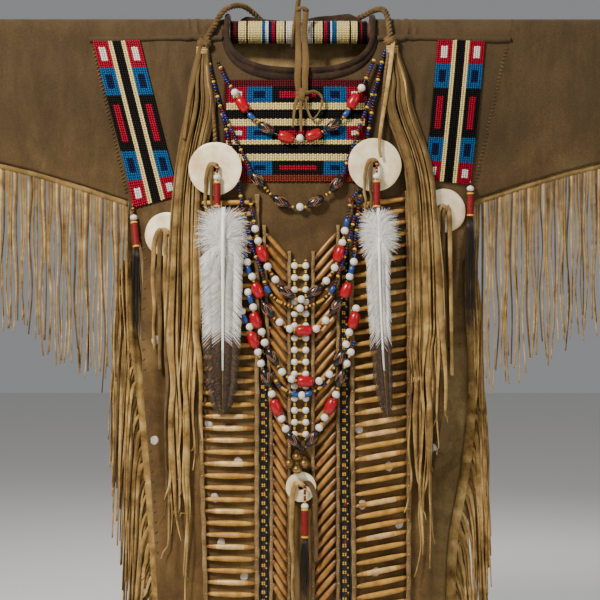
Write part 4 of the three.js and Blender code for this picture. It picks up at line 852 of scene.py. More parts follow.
def beadwork(columns, rows, place, pattern, thick):
    """A slab of stitches: place(u, v, lift) gives a point; the back and edges close it."""
    build = Build()

    def sheet_at(lift):
        return [[build.point(place(i / columns, j / rows, lift)) for j in range(rows + 1)]
                for i in range(columns + 1)]

    grid = sheet_at(thick * 0.50)
    base = sheet_at(0.0)
    du, dv = 0.34 / columns, 0.40 / rows
    for i in range(columns):
        for j in range(rows):
            u, v = (i + 0.5) / columns, (j + 0.5) / rows
            mat = pattern(u, v)
            high = thick + 0.00030 * hashed(i * 977 + j, 5)
            cu = u + 0.05 * hashed(i * 131 + j, 8) / columns
            cv = v + (0.12 if i % 2 else -0.12) / rows
            inner = [build.point(place(cu + a * du, cv + b * dv, high * 0.80)) for a, b in CUSHION]
            mid = build.point(place(cu, cv, high))
            outer = [grid[i][j], grid[i][j + 1], grid[i + 1][j + 1], grid[i + 1][j]]
            for k in range(4):
                m = (k + 1) % 4
                # The cushion's rim takes the darker copy of its colour: painted shade.
                build.face((outer[k], outer[m], inner[m], inner[k]), len(STITCH) + mat)
                build.face((inner[k], inner[m], mid), mat)
            build.face((base[i][j], base[i + 1][j], base[i + 1][j + 1], base[i][j + 1]), MAROON)
    for i in range(columns):
        build.face((grid[i][0], grid[i + 1][0], base[i + 1][0], base[i][0]), MAROON)
        build.face((base[i][rows], base[i + 1][rows], grid[i + 1][rows], grid[i][rows]), MAROON)
    for j in range(rows):
        build.face((grid[0][j + 1], grid[0][j], base[0][j], base[0][j + 1]), MAROON)
        build.face((grid[columns][j], grid[columns][j + 1], base[columns][j + 1], base[columns][j]), MAROON)
    return build


# The bib's stitches across and down; its bands: bottom row of each and its kind
BIB_COLUMNS, BIB_ROWS = 62, 44
BIB_BANDS = [(3, MAROON), (10, "block"), (13, CREAM), (17, BLACK), (20, CREAM), (26, "block"), (28, CREAM),
             (32, BLACK), (35, CREAM), (41, "block"), (44, RUST)]
# Its blocks: last column of each, outer and inner colour, inset of the inner one in columns
BIB_BLOCKS = [(2, MAROON, MAROON, 0), (10, RED, WHITE, 2), (21, BLUE, NAVY, 3), (43, BLACK, RED, 3),
              (53, BLUE, NAVY, 3), (60, RED, WHITE, 2), (62, MAROON, MAROON, 0)]


def block_at(blocks, place):
    """The block that holds a stitch: where it starts and ends, and the rest of its row."""
    start = 0
    for end, *rest in blocks:
        if place < end:
            break
        start = end
    return start, end, rest


def bib_pattern(u, v):
    u, v = u * BIB_COLUMNS, v * BIB_ROWS
    top, bottom, (kind,) = block_at(BIB_BANDS, v)
    if u < 1 or u > BIB_COLUMNS - 1:
        return MAROON
    if kind != "block":
        return kind
    left, right, (outer, inner, inset) = block_at(BIB_BLOCKS, u)
    if inset and left + inset < u < right - inset and top + 2 < v < bottom - 2:
        return inner
    return outer


def bib_place(u, v, lift):
    x, z = lerp(BIB[0], BIB[1], u), lerp(BIB[2], BIB[3], v)
    wobble = 0.0008 * math.sin(30 * v + 3)
    return on_front(x + wobble * (u - 0.5), z, SEAT + lift)


bib = beadwork(BIB_COLUMNS, BIB_ROWS, bib_place, bib_pattern, BEAD_SLAB + 0.0006)
bib.object("bib_beads", BEAD_MATS, slot="beadwork", replaces=["bib_panel"])

# The strips' stitches across and down; their blocks, top to bottom: last row, outer and inner colour
STRIP_COLUMNS, STRIP_ROWS = 22, 70
STRIP_BLOCKS = [(12, RED, WHITE), (24, BLUE, NAVY), (48, BLACK, RED), (60, BLUE, NAVY), (70, RED, WHITE)]


def strip_pattern(u, v):
    """Five columns across: block, cream, black, cream, block."""
    u, v = u * STRIP_COLUMNS, v * STRIP_ROWS
    if 7 < u < 9 or 13 < u < 15:
        return CREAM
    if 9 < u < 13:
        return BLACK
    across = u if u < 7 else u - 15
    top, bottom, (outer, inner) = block_at(STRIP_BLOCKS, v)
    inset = 4 if bottom - top > 12 else 3
    if 2 < across < 5 and top + inset < v < bottom - inset:
        return inner
    return outer


for name, side, top_x, bottom_x, bottom_z, tilt, seat in STRIPS:

    def place(u, v, lift):
        across = (u * 2 - 1) * STRIP_WIDTH / 2
        slope = -math.sin(math.radians(tilt)) * side * across
        z = lerp(STRIP_TOP, bottom_z, v)
        low = clamp((z - bottom_z) / 0.060)
        return on_front(lerp(top_x, bottom_x, v) + across, z + slope * (1 - low), seat + lift)

    made = beadwork(STRIP_COLUMNS, STRIP_ROWS, place, strip_pattern, BEAD_SLAB + 0.0006)
    made.object(name + "_beads", BEAD_MATS, slot="beadwork", replaces=[name])


# Collar: a dark hide band with a rolled rim, in stations round the neck
NECK_STEPS, CLIMB_STEPS, NAPE_STEPS = 60, 14, 40
# Its rim behind the neck: x and height
NAPE = [(0.117, -0.090), (0.084, -0.075), (0.040, -0.078), (-0.014, -0.086), (-0.058, -0.084),
        (-0.092, -0.080), (-0.117, -0.093)]
COLLAR_LAP = 0.0070


def collar_stations():
    """Low edge, rim and outward direction, from the front's left round to the left again."""
    stations = []
    for k in range(NECK_STEPS + 1):
        c = -math.cos(math.pi * k / NECK_STEPS)
        x = math.copysign(abs(c) ** 0.85, c)
        rim_x, low_x = NECK_HALF * x, BAND_HALF * x
        rim_z = neckline(rim_x, NECK_HALF, NECK_DROP)
        low_z = neckline(low_x, BAND_HALF, BAND_DROP)
        stations.append((Vector((low_x, -front_depth(low_x, low_z), low_z)),
                         Vector((rim_x, -front_depth(rim_x, rim_z) - 0.0032, rim_z)), OUT))

    def over_rod(side, a):
        rim = OVER_ROD + 0.006
        return (Vector((side * BAND_HALF, -OVER_ROD * math.cos(a), ROD_Z + OVER_ROD * math.sin(a))),
                Vector((side * (NECK_HALF - 0.001), -rim * math.cos(a), ROD_Z + rim * math.sin(a))),
                Vector((side * 0.7, -0.7 * math.cos(a), 0.7 * math.sin(a))).normalized())

    climb = [math.pi * (0.1 + 0.8 * k / CLIMB_STEPS) for k in range(CLIMB_STEPS + 1)]
    stations += [over_rod(1, a) for a in climb]
    for k in range(NAPE_STEPS + 1):
        t = k / NAPE_STEPS * (len(NAPE) - 1)
        i = min(len(NAPE) - 2, int(t))
        x = lerp(NAPE[i][0], NAPE[i + 1][0], t - i)
        rise = lerp(NAPE[i][1], NAPE[i + 1][1], smooth(t - i))
        low_x = x * 1.05
        low_z = ROD_Z - 0.0015
        stations.append((Vector((low_x, back_depth(low_x, low_z), low_z)),
                         Vector((x, back_depth(low_x, ROD_Z) + 0.0025, rise)), -OUT))
    return stations + [over_rod(-1, a) for a in reversed(climb)]


def build_collar():
    rings = []
    for k, (low, rim, out) in enumerate(collar_stations()):
        up = rim - low
        length = up.length
        up.normalize()
        out = (out - up * out.dot(up)).normalized()
        ripple = 0.0009 * math.sin(k * 0.83) + 0.0006 * math.sin(k * 2.1 + 1)

        def at(rise, lift):
            return low + up * rise + out * (lift + ripple * clamp(rise / 0.006))

        # On the front the band laps over the hide's cut edge
        if k <= NECK_STEPS:
            lap = low - up * COLLAR_LAP
            skin = front_skin(lap.x, lap.z)
            first, last = on_front(lap.x, lap.z, skin + 0.0014), on_front(lap.x, lap.z, skin + 0.0003)
            foot, shin = 0.0036, 0.0036
        else:
            first, last = at(-0.0005, 0.0016), at(-0.0005, -0.0013)
            foot, shin = 0.0017, 0.0021
        section = [(0, foot), (length * 0.35, shin), (length - 0.0082, 0.0026), (length - 0.0066, 0.0056),
                   (length - 0.0028, 0.0072), (length + 0.0012, 0.0056), (length + 0.0026, 0.0016),
                   (length + 0.0006, -0.0018), (length - 0.003, -0.0024), (length * 0.4, -0.0016),
                   (0, -0.0014)]
        rings.append([first] + [at(rise, lift) for rise, lift in section] + [last])
    build = Build()
    build.loft(rings, closed=True)
    return build.object("collar_roll", [M_COLLAR], slot="dark_hide", replaces=["collar"])


collar = build_collar()


# Rod, wrapped in bands of bead stitches at its middle: right edge (mm) and colour of each band
WRAP_BANDS = [(-119, WHITE), (-116.5, BLACK), (-108.8, MAROON), (-107.1, BLACK), (-93.5, CREAM),
              (-89.3, BLACK), (-64.6, CREAM), (-59.5, BLUE), (-53.6, WHITE), (-49.3, NAVY), (-44.2, RED),
              (-40.8, BLACK), (-27.2, CREAM), (-23, BLACK), (22.1, WHITE), (24.7, BLACK), (37.4, CREAM),
              (41.7, BLACK), (45.9, RED), (51, NAVY), (56.1, WHITE), (62.1, BLUE), (84.2, CREAM),
              (88.4, BLACK), (99.5, CREAM), (104.6, BLACK), (108, RED), (116, BLACK)]
WRAP_RADIUS = 0.0176
THINNED = 0.94


def rod_ring(x, r, count=32):
    return [Vector((x, r * math.sin(TURN * k / count), ROD_Z + r * math.cos(TURN * k / count)))
            for k in range(count)]


rod = Build()
rings = [rod_ring(-ROD_HALF, ROD_RADIUS * THINNED)]
for k in range(61):
    x = lerp(-ROD_HALF + 0.002, ROD_HALF - 0.002, k / 60)
    share = THINNED if WRAP_LEFT - 0.01 < x < WRAP_RIGHT + 0.01 else 1 - 0.004 * (k % 3)
    rings.append(rod_ring(x, ROD_RADIUS * share))
rings.append(rod_ring(ROD_HALF, ROD_RADIUS * THINNED))
rod.loft(rings)
rod.object("rod_wrapped", [M_WOOD], slot="wrapped_rod", replaces=["hanger_rod"])


def wrap_place(u, v, lift):
    a = TURN * v
    r = WRAP_RADIUS + lift
    return Vector((lerp(WRAP_LEFT, WRAP_RIGHT, u), r * math.sin(a), ROD_Z + r * math.cos(a)))


def wrap_pattern(u, v):
    x = lerp(WRAP_LEFT, WRAP_RIGHT, u) * 1000
    return next((kind for edge, kind in WRAP_BANDS if x < edge), BLACK)


wrap = beadwork(88, 28, wrap_place, wrap_pattern, 0.0019)
wrap.object("rod_bead_wrap", BEAD_MATS, slot="wrapped_rod")

# Hanging loop: thong under the rod and over a hook at the origin
loop = Build()
LOOP = mm((0, 0, 4), (0, -8, -4), (-2, -17, -34), (-6, -24.5, -78), (-11, -25.5, -112), (-12, -14, -131),
          (-12, 4, -133.9), (-11, 18.5, -125), (-7, 25.5, -104), (-4, 21, -72), (0, 12, -34), (0, 8, -4))
tube(loop, spline(LOOP, 130, True), 0.0031, 10, 0, True)
loop.object("hanging_thong", [M_FRINGE], slot="thong", replaces=["hanging_loop"])

# Neck lace: two straps over the collar to a knot on the bib, a bow loop and tails. Height and depth in m
LACE = [(-0.076, 0.0325), (-0.120, 0.033), (-0.168, 0.055), (-0.200, 0.062), (-0.224, 0.064)]
LACE_BRIDGE = mm((-7, -33.2, -78.5), (-3, -35.6, -75.5), (3, -36.2, -74.5), (9, -35.6, -75.5),
                 (13, -33.2, -78.5))
KNOT_OVER = mm((3, -64, -216), (4, -70.5, -223), (3, -71.5, -230), (3, -66, -238))
BOW = mm((8, -66, -226), (24, -67, -221), (37, -67.5, -232), (34, -69, -252), (22, -70, -268),
         (14, -70, -256), (9, -68, -234))
lace = Build()
for x in (-0.003, 0.009):
    base = [Vector((x + 0.0012 * math.sin(9 * k + x * 900), -d, z)) for k, (z, d) in enumerate(LACE)]
    strap(lace, spline(base, 40), lambda t: 0.0105 * (1 - 0.12 * math.sin(7 * t)), 0.0022)
strap(lace, spline(LACE_BRIDGE, 16), 0.0062, 0.0022, wide=UP)
for z, turn in ((-0.225, 0.0025), (-0.231, -0.0025)):
    a, b = Vector((-0.007, -0.066, z)), Vector((0.014, -0.066, z + turn))
    mid = a.lerp(b, 0.5) + OUT * 0.0042
    strap(lace, spline([a, mid, b], 14), 0.0075, 0.0030, wide=UP)
strap(lace, spline(KNOT_OVER, 14), 0.0105, 0.0030)
strap(lace, spline(BOW, 44), 0.0062, 0.0020, twist=2.2, wide=UP, phase=0.4)
for x0, x1, z1 in ((-4, -12, -282), (2, 2, -290)):
    strap(lace, spline(mm((x0, -66, -230), ((x0 + x1) / 2 - 1, -70, -250), (x1, -73, z1)), 24),
          lambda t: 0.0068 - 0.0026 * t, 0.0020, twist=0.9)
lace.object("neck_lace_thong", [M_FRINGE], slot="thong", replaces=["neck_lace"])

# Neck cord: two strands laid round each other, with a wrapped knot on each shoulder
CORD = [on_front(-0.168, -0.147, 0.0095), on_front(-0.163, -0.133, 0.0095), on_front(-0.152, -0.114, 0.008)]
CORD += mm((-130, -18, -76), (-104, 8, -62), (-84, 34, -68), (-52, 47, -93), (0, 52, -103), (60, 48, -96),
           (104, 36, -78), (134, 12, -68), (148, -16, -80))
CORD += [on_front(0.153, -0.114, 0.008), on_front(0.154, -0.129, 0.0095), on_front(0.157, -0.143, 0.0095)]
cord = Build()
twisted(cord, spline(CORD, 300), 0.0052, 34)
for x, z in ((-0.163, -0.135), (0.154, -0.131)):
    mid = on_front(x, z, 0.0095)
    for k in range(4):
        a = -0.9 + 0.6 * k
        u = Vector((math.cos(a), 0, math.sin(a) * 0.8))
        ends = [mid + u * share + OUT * rise for share, rise in
                ((-0.0105, 0), (-0.006, 0.0065), (0.006, 0.0065), (0.0105, 0))]
        tube(cord, spline(ends, 14), lambda t: 0.0026 + 0.0010 * math.sin(math.pi * t), 7, 0)
cord.object("neck_cord_twisted", [M_DARK_THONG], slot="thong", replaces=["neck_cord"])

# Shoulder bundles: x at three heights and the lower end, all in mm, gathered at a root under the cord's knots
BUNDLES = {
    "left": ((-166, -147), [(-190, -211, -223, -968), (-181, -203, -212, -1010), (-172, -194, -201, -880),
                            (-164, -186, -192, -1046), (-156, -179, -183, -905), (-149, -172, -174, -836)]),
    "right": ((157, -145), [(148, 184, 190, -770), (155, 192, 198, -930), (163, 200, 207, -1040),
                            (171, 208, 217, -985), (179, 216, 227, -880), (187, 224, 238, -800)]),
}
BUNDLE_MATS = (0, 0, 2, 0, 0, 1, 0)
DRIFT_STEP = 0.055


def bundle_route(k, seed, row, root, off, stop, layer, lift_top, twin):
    """One thong's way from the root, over the chest and down, drifting a little from side to side."""
    a, b, c = (x / 1000 for x in row)
    root_x, root_z = root
    hang = layer * 0.0055
    route = [on_front(root_x / 1000 + (k - 2.5) * 0.0030 + off * 0.2, root_z / 1000 + 0.008, lift_top),
             on_front(root_x / 1000 + (k - 2.5) * 0.0036 + off * 0.3, root_z / 1000 - 0.008,
                      lift_top + 0.0010 * (k % 2)),
             on_front(lerp(root_x / 1000, a, 0.75) + off * 0.7, -0.200, lift_top + 0.0022 * ((k + twin) % 3)),
             on_front(a + off, -0.250, lift_top + 0.0030),
             on_front(b + off * 1.2, -0.375, 0.0112 + hang),
             on_front(c + off * 1.1, -0.600, 0.0126 + hang)]
    z = -0.600
    drift = c + off * 1.1
    step = 0
    while z - DRIFT_STEP > stop:
        z -= DRIFT_STEP
        step += 1
        drift += 0.0052 * hashed(seed * 13 + step, 23)
        route.append(on_front(drift, z, 0.0118 + hang + 0.0016 * hashed(seed + step, 24)))
    curl = 0.010 * hashed(seed, 25)
    route.append(on_front(drift + curl, stop + 0.012, 0.0122 + hang))
    route.append(on_front(drift + curl * 1.6, stop, 0.0150 + hang))
    return spline(route, 72)


for name, (root, rows) in BUNDLES.items():
    for layer, tag in ((0, "back"), (1, "front")):
        bundle = Build()
        lift_top = 0.0046 + layer * 0.0040
        for k, (*row, end) in enumerate(rows):
            end = end / 1000 + layer * (0.050 + 0.090 * hashed(k, 11))
            for twin in (0, 1) if (k + layer) % 2 else (0,):
                seed = k * 4 + layer * 2 + twin
                off = (twin - 0.5 + 0.3 * layer) * 0.0086 + 0.0030 * hashed(seed, 21)
                stop = end + twin * (0.040 + 0.090 * abs(hashed(seed, 22)))
                width = 0.0062 + 0.0024 * hashed(seed, 26)

                def wide_at(t):
                    wave = 1 + 0.16 * math.sin(17 * t + seed) + 0.10 * math.sin(41 * t + 2 * seed)
                    flare = 1 + 0.45 * smooth(clamp((t - 0.25) / 0.3))
                    return width * wave * min(1, 0.55 + 5 * t) * flare * (1 - 0.92 * t ** 9)

                strap(bundle, bundle_route(k, seed, row, root, off, stop, layer, lift_top, twin), wide_at,
                      0.0018, mat=BUNDLE_MATS[seed % 7], twist=5.0 * hashed(seed, 27),
                      phase=0.9 * hashed(seed, 28))
        # The wrap that binds the bundle's root
        for k in range(3):
            z = (root[1] + 4 - 4.5 * k) / 1000 + 0.0008 * hashed(k, 29)
            ends = [on_front((root[0] + 9.5 * t) / 1000, z, lift_top + 0.0040 - 0.0040 * t * t)
                    for t in (-1, -0.6, 0, 0.6, 1)]
            strap(bundle, spline(ends, 16), 0.0046, 0.0018, mat=1, wide=UP)
        bundle.object(f"bundle_{name}_{tag}", [M_FRINGE, M_THONG, M_DARK_THONG], slot="thong",
                      replaces=[f"shoulder_thongs_{name}_{tag}"])

# Twisted thongs from the knots down behind the chest discs, and a flat one beside each. x, z and lift in mm
TWISTED = ([(-163, -146, 8), (-154, -190, 9), (-148, -240, 9), (-143, -300, 9), (-141, -318, 9)],
           [(153, -143, 8), (146, -180, 9), (141, -230, 9), (136, -285, 9), (133, -315, 9)])
FLAT_RIGHT = [(158, -134, 16), (152, -180, 15), (143, -240, 15), (135, -290, 21), (133, -318, 23),
              (136, -333, 23)]
FLAT_LEFT = [(-168, -140, 14), (-178, -190, 13), (-188, -240, 15), (-196, -300, 17)]
braids = Build()
for route in TWISTED:
    twisted(braids, spline([on_front_mm(*point) for point in route], 150), 0.0034, 24, (0, 1))
strap(braids, spline([on_front_mm(*point) for point in FLAT_RIGHT], 50), lambda t: 0.0082 - 0.0030 * t,
      0.0019, mat=2, phase=0.5, twist=-0.8)
strap(braids, spline([on_front_mm(*point) for point in FLAT_LEFT], 50), lambda t: 0.0086 - 0.0026 * t,
      0.0019, mat=1, phase=-0.4, twist=0.8)
braids.object("twisted_thongs", [M_DARK_THONG, M_FRINGE, M_THONG], slot="thong")


# Side fringes, laced along the back hide's edges
SIDE_STRANDS, SLEEVE_STRANDS = 84, 92
FRINGE_MATS = (0, 0, 1, 0, 2)
FRINGE_LAYERS = (-0.0048, -0.0016, 0.0016, 0.0048)


def back_edge(side, z):
    x = edge_at(BACK_EDGES, side, z)
    return Vector((x, back_depth(x, z), z))


for side, name in SIDES:
    fringe = Build()
    strip = []
    for k in range(61):
        z = lerp(-0.503, -1.115, k / 60)
        p = back_edge(side, z)
        x = p.x - side * 0.005
        wave = 0.0010 * math.sin(k * 0.7)
        strip.append([Vector((x, p.y - 0.0036, z)), Vector((x + side * 0.016, p.y - 0.0036 + wave, z)),
                      Vector((x + side * 0.016, p.y - 0.0014 + wave, z)), Vector((x, p.y - 0.0014, z))])
    fringe.loft(strip)
    for k in range(SIDE_STRANDS):
        z = lerp(-0.512, -1.100, k / (SIDE_STRANDS - 1))
        p = back_edge(side, z)
        layer = FRINGE_LAYERS[k % 4]
        length = min(0.340 + 0.045 * hashed(k, 31 + side), z + 1.150)
        width = 0.0064 + 0.0018 * hashed(k, 36)
        x0 = p.x + side * 0.0078
        lean = 0.008 + 0.006 * abs(hashed(k, 32))
        bow = 0.006 * hashed(k, 33)
        route = [Vector((x0 - side * 0.003, p.y, z)),
                 Vector((x0 + side * 0.005, p.y + layer * 0.5, z - 0.009)),
                 Vector((x0 + side * lean, p.y + layer, z - 0.034))]
        for t in (0.3, 0.55, 0.8, 1.0):
            x = x0 + side * (lean + 0.012 * t) + bow * math.sin(5 * t) * 0.7 + 0.002 * hashed(k, 35) * t
            route.append(Vector((x, p.y + layer + 0.001 * hashed(k, 34) * t, z - max(0.040, length * t))))
        strap(fringe, spline(route, 26), lambda t: width * (1 - 0.6 * t), 0.0016,
              mat=FRINGE_MATS[(k * 7) % 5], twist=2.4 * hashed(k, 37), phase=0.3 * hashed(k, 38))
    fringe.object(f"fringe_side_{name}", [M_FRINGE, M_THONG, M_DARK_THONG], slot="thong",
                  replaces=[f"side_fringe_{name}"])

# Sleeve fringes below the sleeves' lower seams
for side, name in SIDES:
    fringe = Build()

    def bottom(t):
        return sleeve_row(t)[0] - 0.0008

    def out_at(t):
        return side * lerp(armhole(max(bottom(t), ARMPIT_Z)) + 0.001, CUFF_X - 0.003, t)

    strip = []
    for k in range(81):
        x, z = out_at(k / 80), bottom(k / 80)
        strip.append([Vector((x, y, z - drop)) for y, drop in
                      ((-0.0014, 0.010), (-0.0014, 0), (0.0014, 0), (0.0014, 0.010))])
    fringe.loft(strip)
    for k in range(SLEEVE_STRANDS):
        t = (k + 0.5) / SLEEVE_STRANDS
        x, z = out_at(t), bottom(t) - 0.008
        length = lerp(0.330, 0.190, t) * (1 + 0.10 * hashed(k, 41 + side))
        width = 0.0044 + 0.0007 * hashed(k, 45)
        route = [Vector((x, 0, z + 0.003)),
                 Vector((x + 0.001 * hashed(k, 42), 0.002 * hashed(k, 46), z - length * 0.12))]
        for s in (0.4, 0.7, 1.0):
            sway = 0.005 * hashed(k, 43) * s + 0.003 * math.sin(9 * s + k)
            route.append(Vector((x + sway, 0.0042 * hashed(k, 44) * s, z - length * s)))
        strap(fringe, spline(route, 22), lambda t: width * (1 - 0.5 * t), 0.0016,
              mat=FRINGE_MATS[(k * 3) % 5], twist=2.6 * hashed(k, 47), phase=0.3 * hashed(k, 48))
    fringe.object(f"fringe_sleeve_{name}", [M_FRINGE, M_THONG, M_DARK_THONG], slot="thong",
                  replaces=[f"sleeve_fringe_{name}"])

# Discs: shell plates that lie on the hide, with a rolled edge, growth lines and a hole.
# x, z, radius and lift in mm
DISCS = [("chest_left", -142.8, -351.4, 45, 17.5), ("chest_right", 125.8, -344.6, 45, 12.9),
         ("sleeve_left", -227.8, -460, 37.5, 0.8), ("sleeve_right", 246.5, -419.4, 37.5, 0.8),
         ("centre", 1.7, -885, 25.5, 9)]
DISC_THICK = 0.004
DISC_SIDES = 72
GROWTH_LINES = 12
HOLE = 0.005
DISC_AT = {}
for index, (name, *sizes) in enumerate(DISCS):
    x, z, radius, lift = (v / 1000 for v in sizes)
    slope_x = (front_depth(x + radius, z) - front_depth(x - radius, z)) / (2 * radius)
    slope_z = (front_depth(x, z + radius) - front_depth(x, z - radius)) / (2 * radius)

    def lean(px, pz, x=x, z=z, sx=slope_x, sz=slope_z):
        return -sx * (px - x) - sz * (pz - z)

    ahead = 0.0
    for k in range(24):
        px, pz = x + radius * math.cos(k * math.pi / 12), z + radius * math.sin(k * math.pi / 12)
        ahead = max(ahead, front_depth(px, pz) - front_depth(x, z) + lean(px, pz))
    back = -front_depth(x, z) - WALL / 2 - ahead - lift
    DISC_AT[name] = (x, z, radius, back, lean)
    profile = [(HOLE, 0.0), (radius * 0.5, 0.0), (radius - 0.0012, 0.0), (radius, 0.0009),
               (radius - 0.0003, 0.0022), (radius - 0.0030, 0.0032)]
    for g in range(GROWTH_LINES):
        height = 0.0033 + (0.0003 if g % 2 else 0.0) - 0.0006 * math.sin(g * 0.28)
        profile.append((lerp(radius - 0.006, HOLE * 1.9, g / (GROWTH_LINES - 1)), height))
    profile += [(HOLE * 1.5, 0.0032), (HOLE, 0.0026)]
    disc = Build()
    rings = []
    for k in range(DISC_SIDES):
        a = TURN * k / DISC_SIDES
        chip = 1 + 0.006 * math.sin(3 * a + index) + 0.004 * math.sin(7 * a + 2 * index)
        ring = []
        for r, h in profile:
            r2 = r * (chip if r > HOLE * 2 else 1)
            px, pz = x + r2 * math.cos(a), z + r2 * math.sin(a)
            ring.append(Vector((px, back - h + lean(px, pz), pz)))
        rings.append(ring)
    disc.loft(rings, closed=True)
    disc.object(f"shell_disc_{name}", [M_SHELL], sharp=40, slot="shell", replaces=[f"disc_{name}"])

# The knot on a disc's face, in mm from its hole: across, off the face and up
KNOT_POINTS = ((-8, 0.6, 4), (-5, 4.2, 8), (1, 5.0, 6), (5, 3.8, 2), (7, 0.6, 0))
# Thongs through the discs: x from the centre, width and lower end, all in mm
DISC_THONGS = {
    "chest_left": [(-15, 8, -470), (-6, 7, -440)],
    "chest_right": [(-17, 7.5, -430), (-7.4, 6.6, -419)],
    "sleeve_left": [(-21, 9, -655), (-11, 9, -690), (-1, 8, -640)],
    "sleeve_right": [(-14, 9, -640), (-3, 9, -672), (9, 9, -700)],
    "centre": [(-15, 10, -1085), (24, 10, -1010)],
}
for name, rows in DISC_THONGS.items():
    x0, z0, radius, back, lean = DISC_AT[name]
    thongs = Build()
    face = back - DISC_THICK - SEAM
    over = 0.013 if name == "centre" else 0.006
    for k, (dx, width, end) in enumerate(rows):
        x, end, width = x0 + dx / 1000, end / 1000, width / 1000
        away_edge = lean(x, z0 - radius)

        def away(z, x=x, e=away_edge):
            return min(face - 0.0016 + e, on_front(x, z, over).y)

        top_x = lerp(x0, x, 0.35)
        route = [Vector((top_x, face + 0.0020 + lean(top_x, z0), z0 + 0.001)),
                 Vector((top_x, face - 0.0024 + lean(top_x, z0 + 0.008), z0 + 0.0095)),
                 Vector((lerp(top_x, x, 0.6), face - 0.0042 + lean(x, z0), z0 + 0.001)),
                 Vector((x, face - 0.0030 + lean(x, z0 - 0.016), z0 - 0.018)),
                 Vector((x, face - 0.0026 + lean(x, z0 - 0.027), z0 - 0.030))]
        reach = z0 - 0.030 - end
        for s in (0.3, 0.55, 0.8, 1.0):
            z = z0 - 0.030 - reach * s
            sway = 0.002 * s + 0.0018 * hashed(k * 5 + int(s * 10), 51)
            route.append(Vector((x + sway, away(z) - 0.0006 * s, z)))
        strap(thongs, spline(route, 54), lambda t: width * (0.92 - 0.25 * t), 0.0019, mat=k % 2,
              twist=1.2 * hashed(k, 52))
    ends = []
    for dx, dy, dz in KNOT_POINTS:
        x = x0 + dx / 1000
        ends.append(Vector((x, face - dy / 1000 + lean(x, z0 + 0.006), z0 + dz / 1000)))
    strap(thongs, spline(ends, 20), 0.0070, 0.0020, wide=UP)
    thongs.object(f"thongs_{name}", [M_FRINGE, M_DARK_THONG], slot="thong", replaces=[f"disc_thongs_{name}"])

# Drops: seed beads, a white bead and a quill wrap. x, top, white bead, wrap top and end, lean, all in mm
DROPS = [("chest_left", -138.6, -345, -366.7, -374, -416, 0),
         ("chest_right", 128.5, -339, -365, -372, -416.5, 0),
         ("sleeve_left", -287, -410, -431, -438, -482, 8),
         ("sleeve_right", 292, -371, -381, -388, -428, 0),
         ("centre", 8, -882, -915.8, -919.5, -968.5, 0)]
WRAP_TURNS = 15
DROP_MATS = [M_QUILL, M_BLACK, M_GOLD, M_RED, M_WHITE, M_THREAD]
DROP_END = {}
for name, *sizes in DROPS:
    x, top, white, wrap_top, wrap_end, slant = (v / 1000 for v in sizes)
    if name.startswith("sleeve"):
        y = on_front(x, top, 0.0084).y
        end = min(y, on_front(x + slant, wrap_end, 0.010).y)
    else:
        y = DISC_AT[name][3] - DISC_THICK - SEAM - 0.005 - 0.0035
        end = y
    DROP_END[name] = (x + slant * 1.02, end, wrap_end - 0.003 - SEAM)
    drop = Build()

    def at(z):
        t = (top - z) / (top - wrap_end)
        return Vector((x + slant * t, lerp(y, end, t), z))

    way = (at(wrap_end) - at(top)).normalized()
    z = top
    k = 0
    while z > white + 0.0060:
        lathe(drop, at(z), way, bead_profile(0.0014, 0.0027), 10, (3, 1, 2, 1)[k % 4])
        z -= 0.0026
        k += 1
    lathe(drop, at(white), way, bead_profile(0.0048, 0.0063, 8), 16, 4)
    origin = at(wrap_top)
    span = (at(wrap_end) - origin).length / (wrap_top - wrap_end)
    rows = [(0.0, 0.0030)]
    mats = [0]
    for k in range(WRAP_TURNS):
        z0, z1 = lerp(wrap_top, wrap_end, k / WRAP_TURNS), lerp(wrap_top, wrap_end, (k + 1) / WRAP_TURNS)
        for share, r in ((0, 0.0054), (0.3, 0.0062), (0.75, 0.0062)):
            rows.append(((wrap_top - lerp(z0, z1, share)) * span, r))
            mats.append(2 if k in (0, WRAP_TURNS - 1) else 0)
    rows += [((wrap_top - wrap_end) * span, 0.0054), ((wrap_top - wrap_end + 0.003) * span, 0.0030)]
    lathe(drop, origin, way, rows, 14, mats + [0])
    tube(drop, [at(top + 0.003), at(lerp(top, wrap_top, 0.5)), at(wrap_top - 0.002)], 0.0009, 6, 5)
    drop.object(f"drop_{name}_quilled", DROP_MATS, slot="quill_wrap", replaces=[f"drop_{name}"])

# Horsehair locks below three of the drops
HAIRS = 90
for tag, drop_name, end in (("left", "sleeve_left", -0.640), ("right", "sleeve_right", -0.624),
                            ("centre", "centre", -1.096)):
    x0, y0, z0 = DROP_END[drop_name]
    hair = Build()
    rng = random.Random(61 + len(tag))
    for _ in range(HAIRS):
        a, r = rng.uniform(0, TURN), math.sqrt(rng.random())
        spread = Vector((math.cos(a) * r, math.sin(a) * r, 0))
        stop = end + rng.uniform(-0.002, 0.060) * (0.4 + 0.6 * r)
        fan = 1 + 0.5 * rng.random()
        base = Vector((x0 + spread.x * 0.0046, y0 + spread.y * 0.0030, z0 + 0.001))
        mid = Vector((x0 + spread.x * 0.0072 * fan, y0 + spread.y * 0.0034, lerp(z0, stop, 0.45)))
        low_x = x0 + spread.x * 0.0068 * fan + rng.uniform(-0.002, 0.002)
        low = Vector((low_x, y0 + spread.y * 0.0036, stop))
        tube(hair, spline([base, mid, low], 9), lambda t: 0.00036 * (1 - 0.6 * t), 4)
    hair.object(f"horsehair_lock_{tag}", [M_HAIR], slot="horsehair", replaces=[f"horsehair_{tag}"])

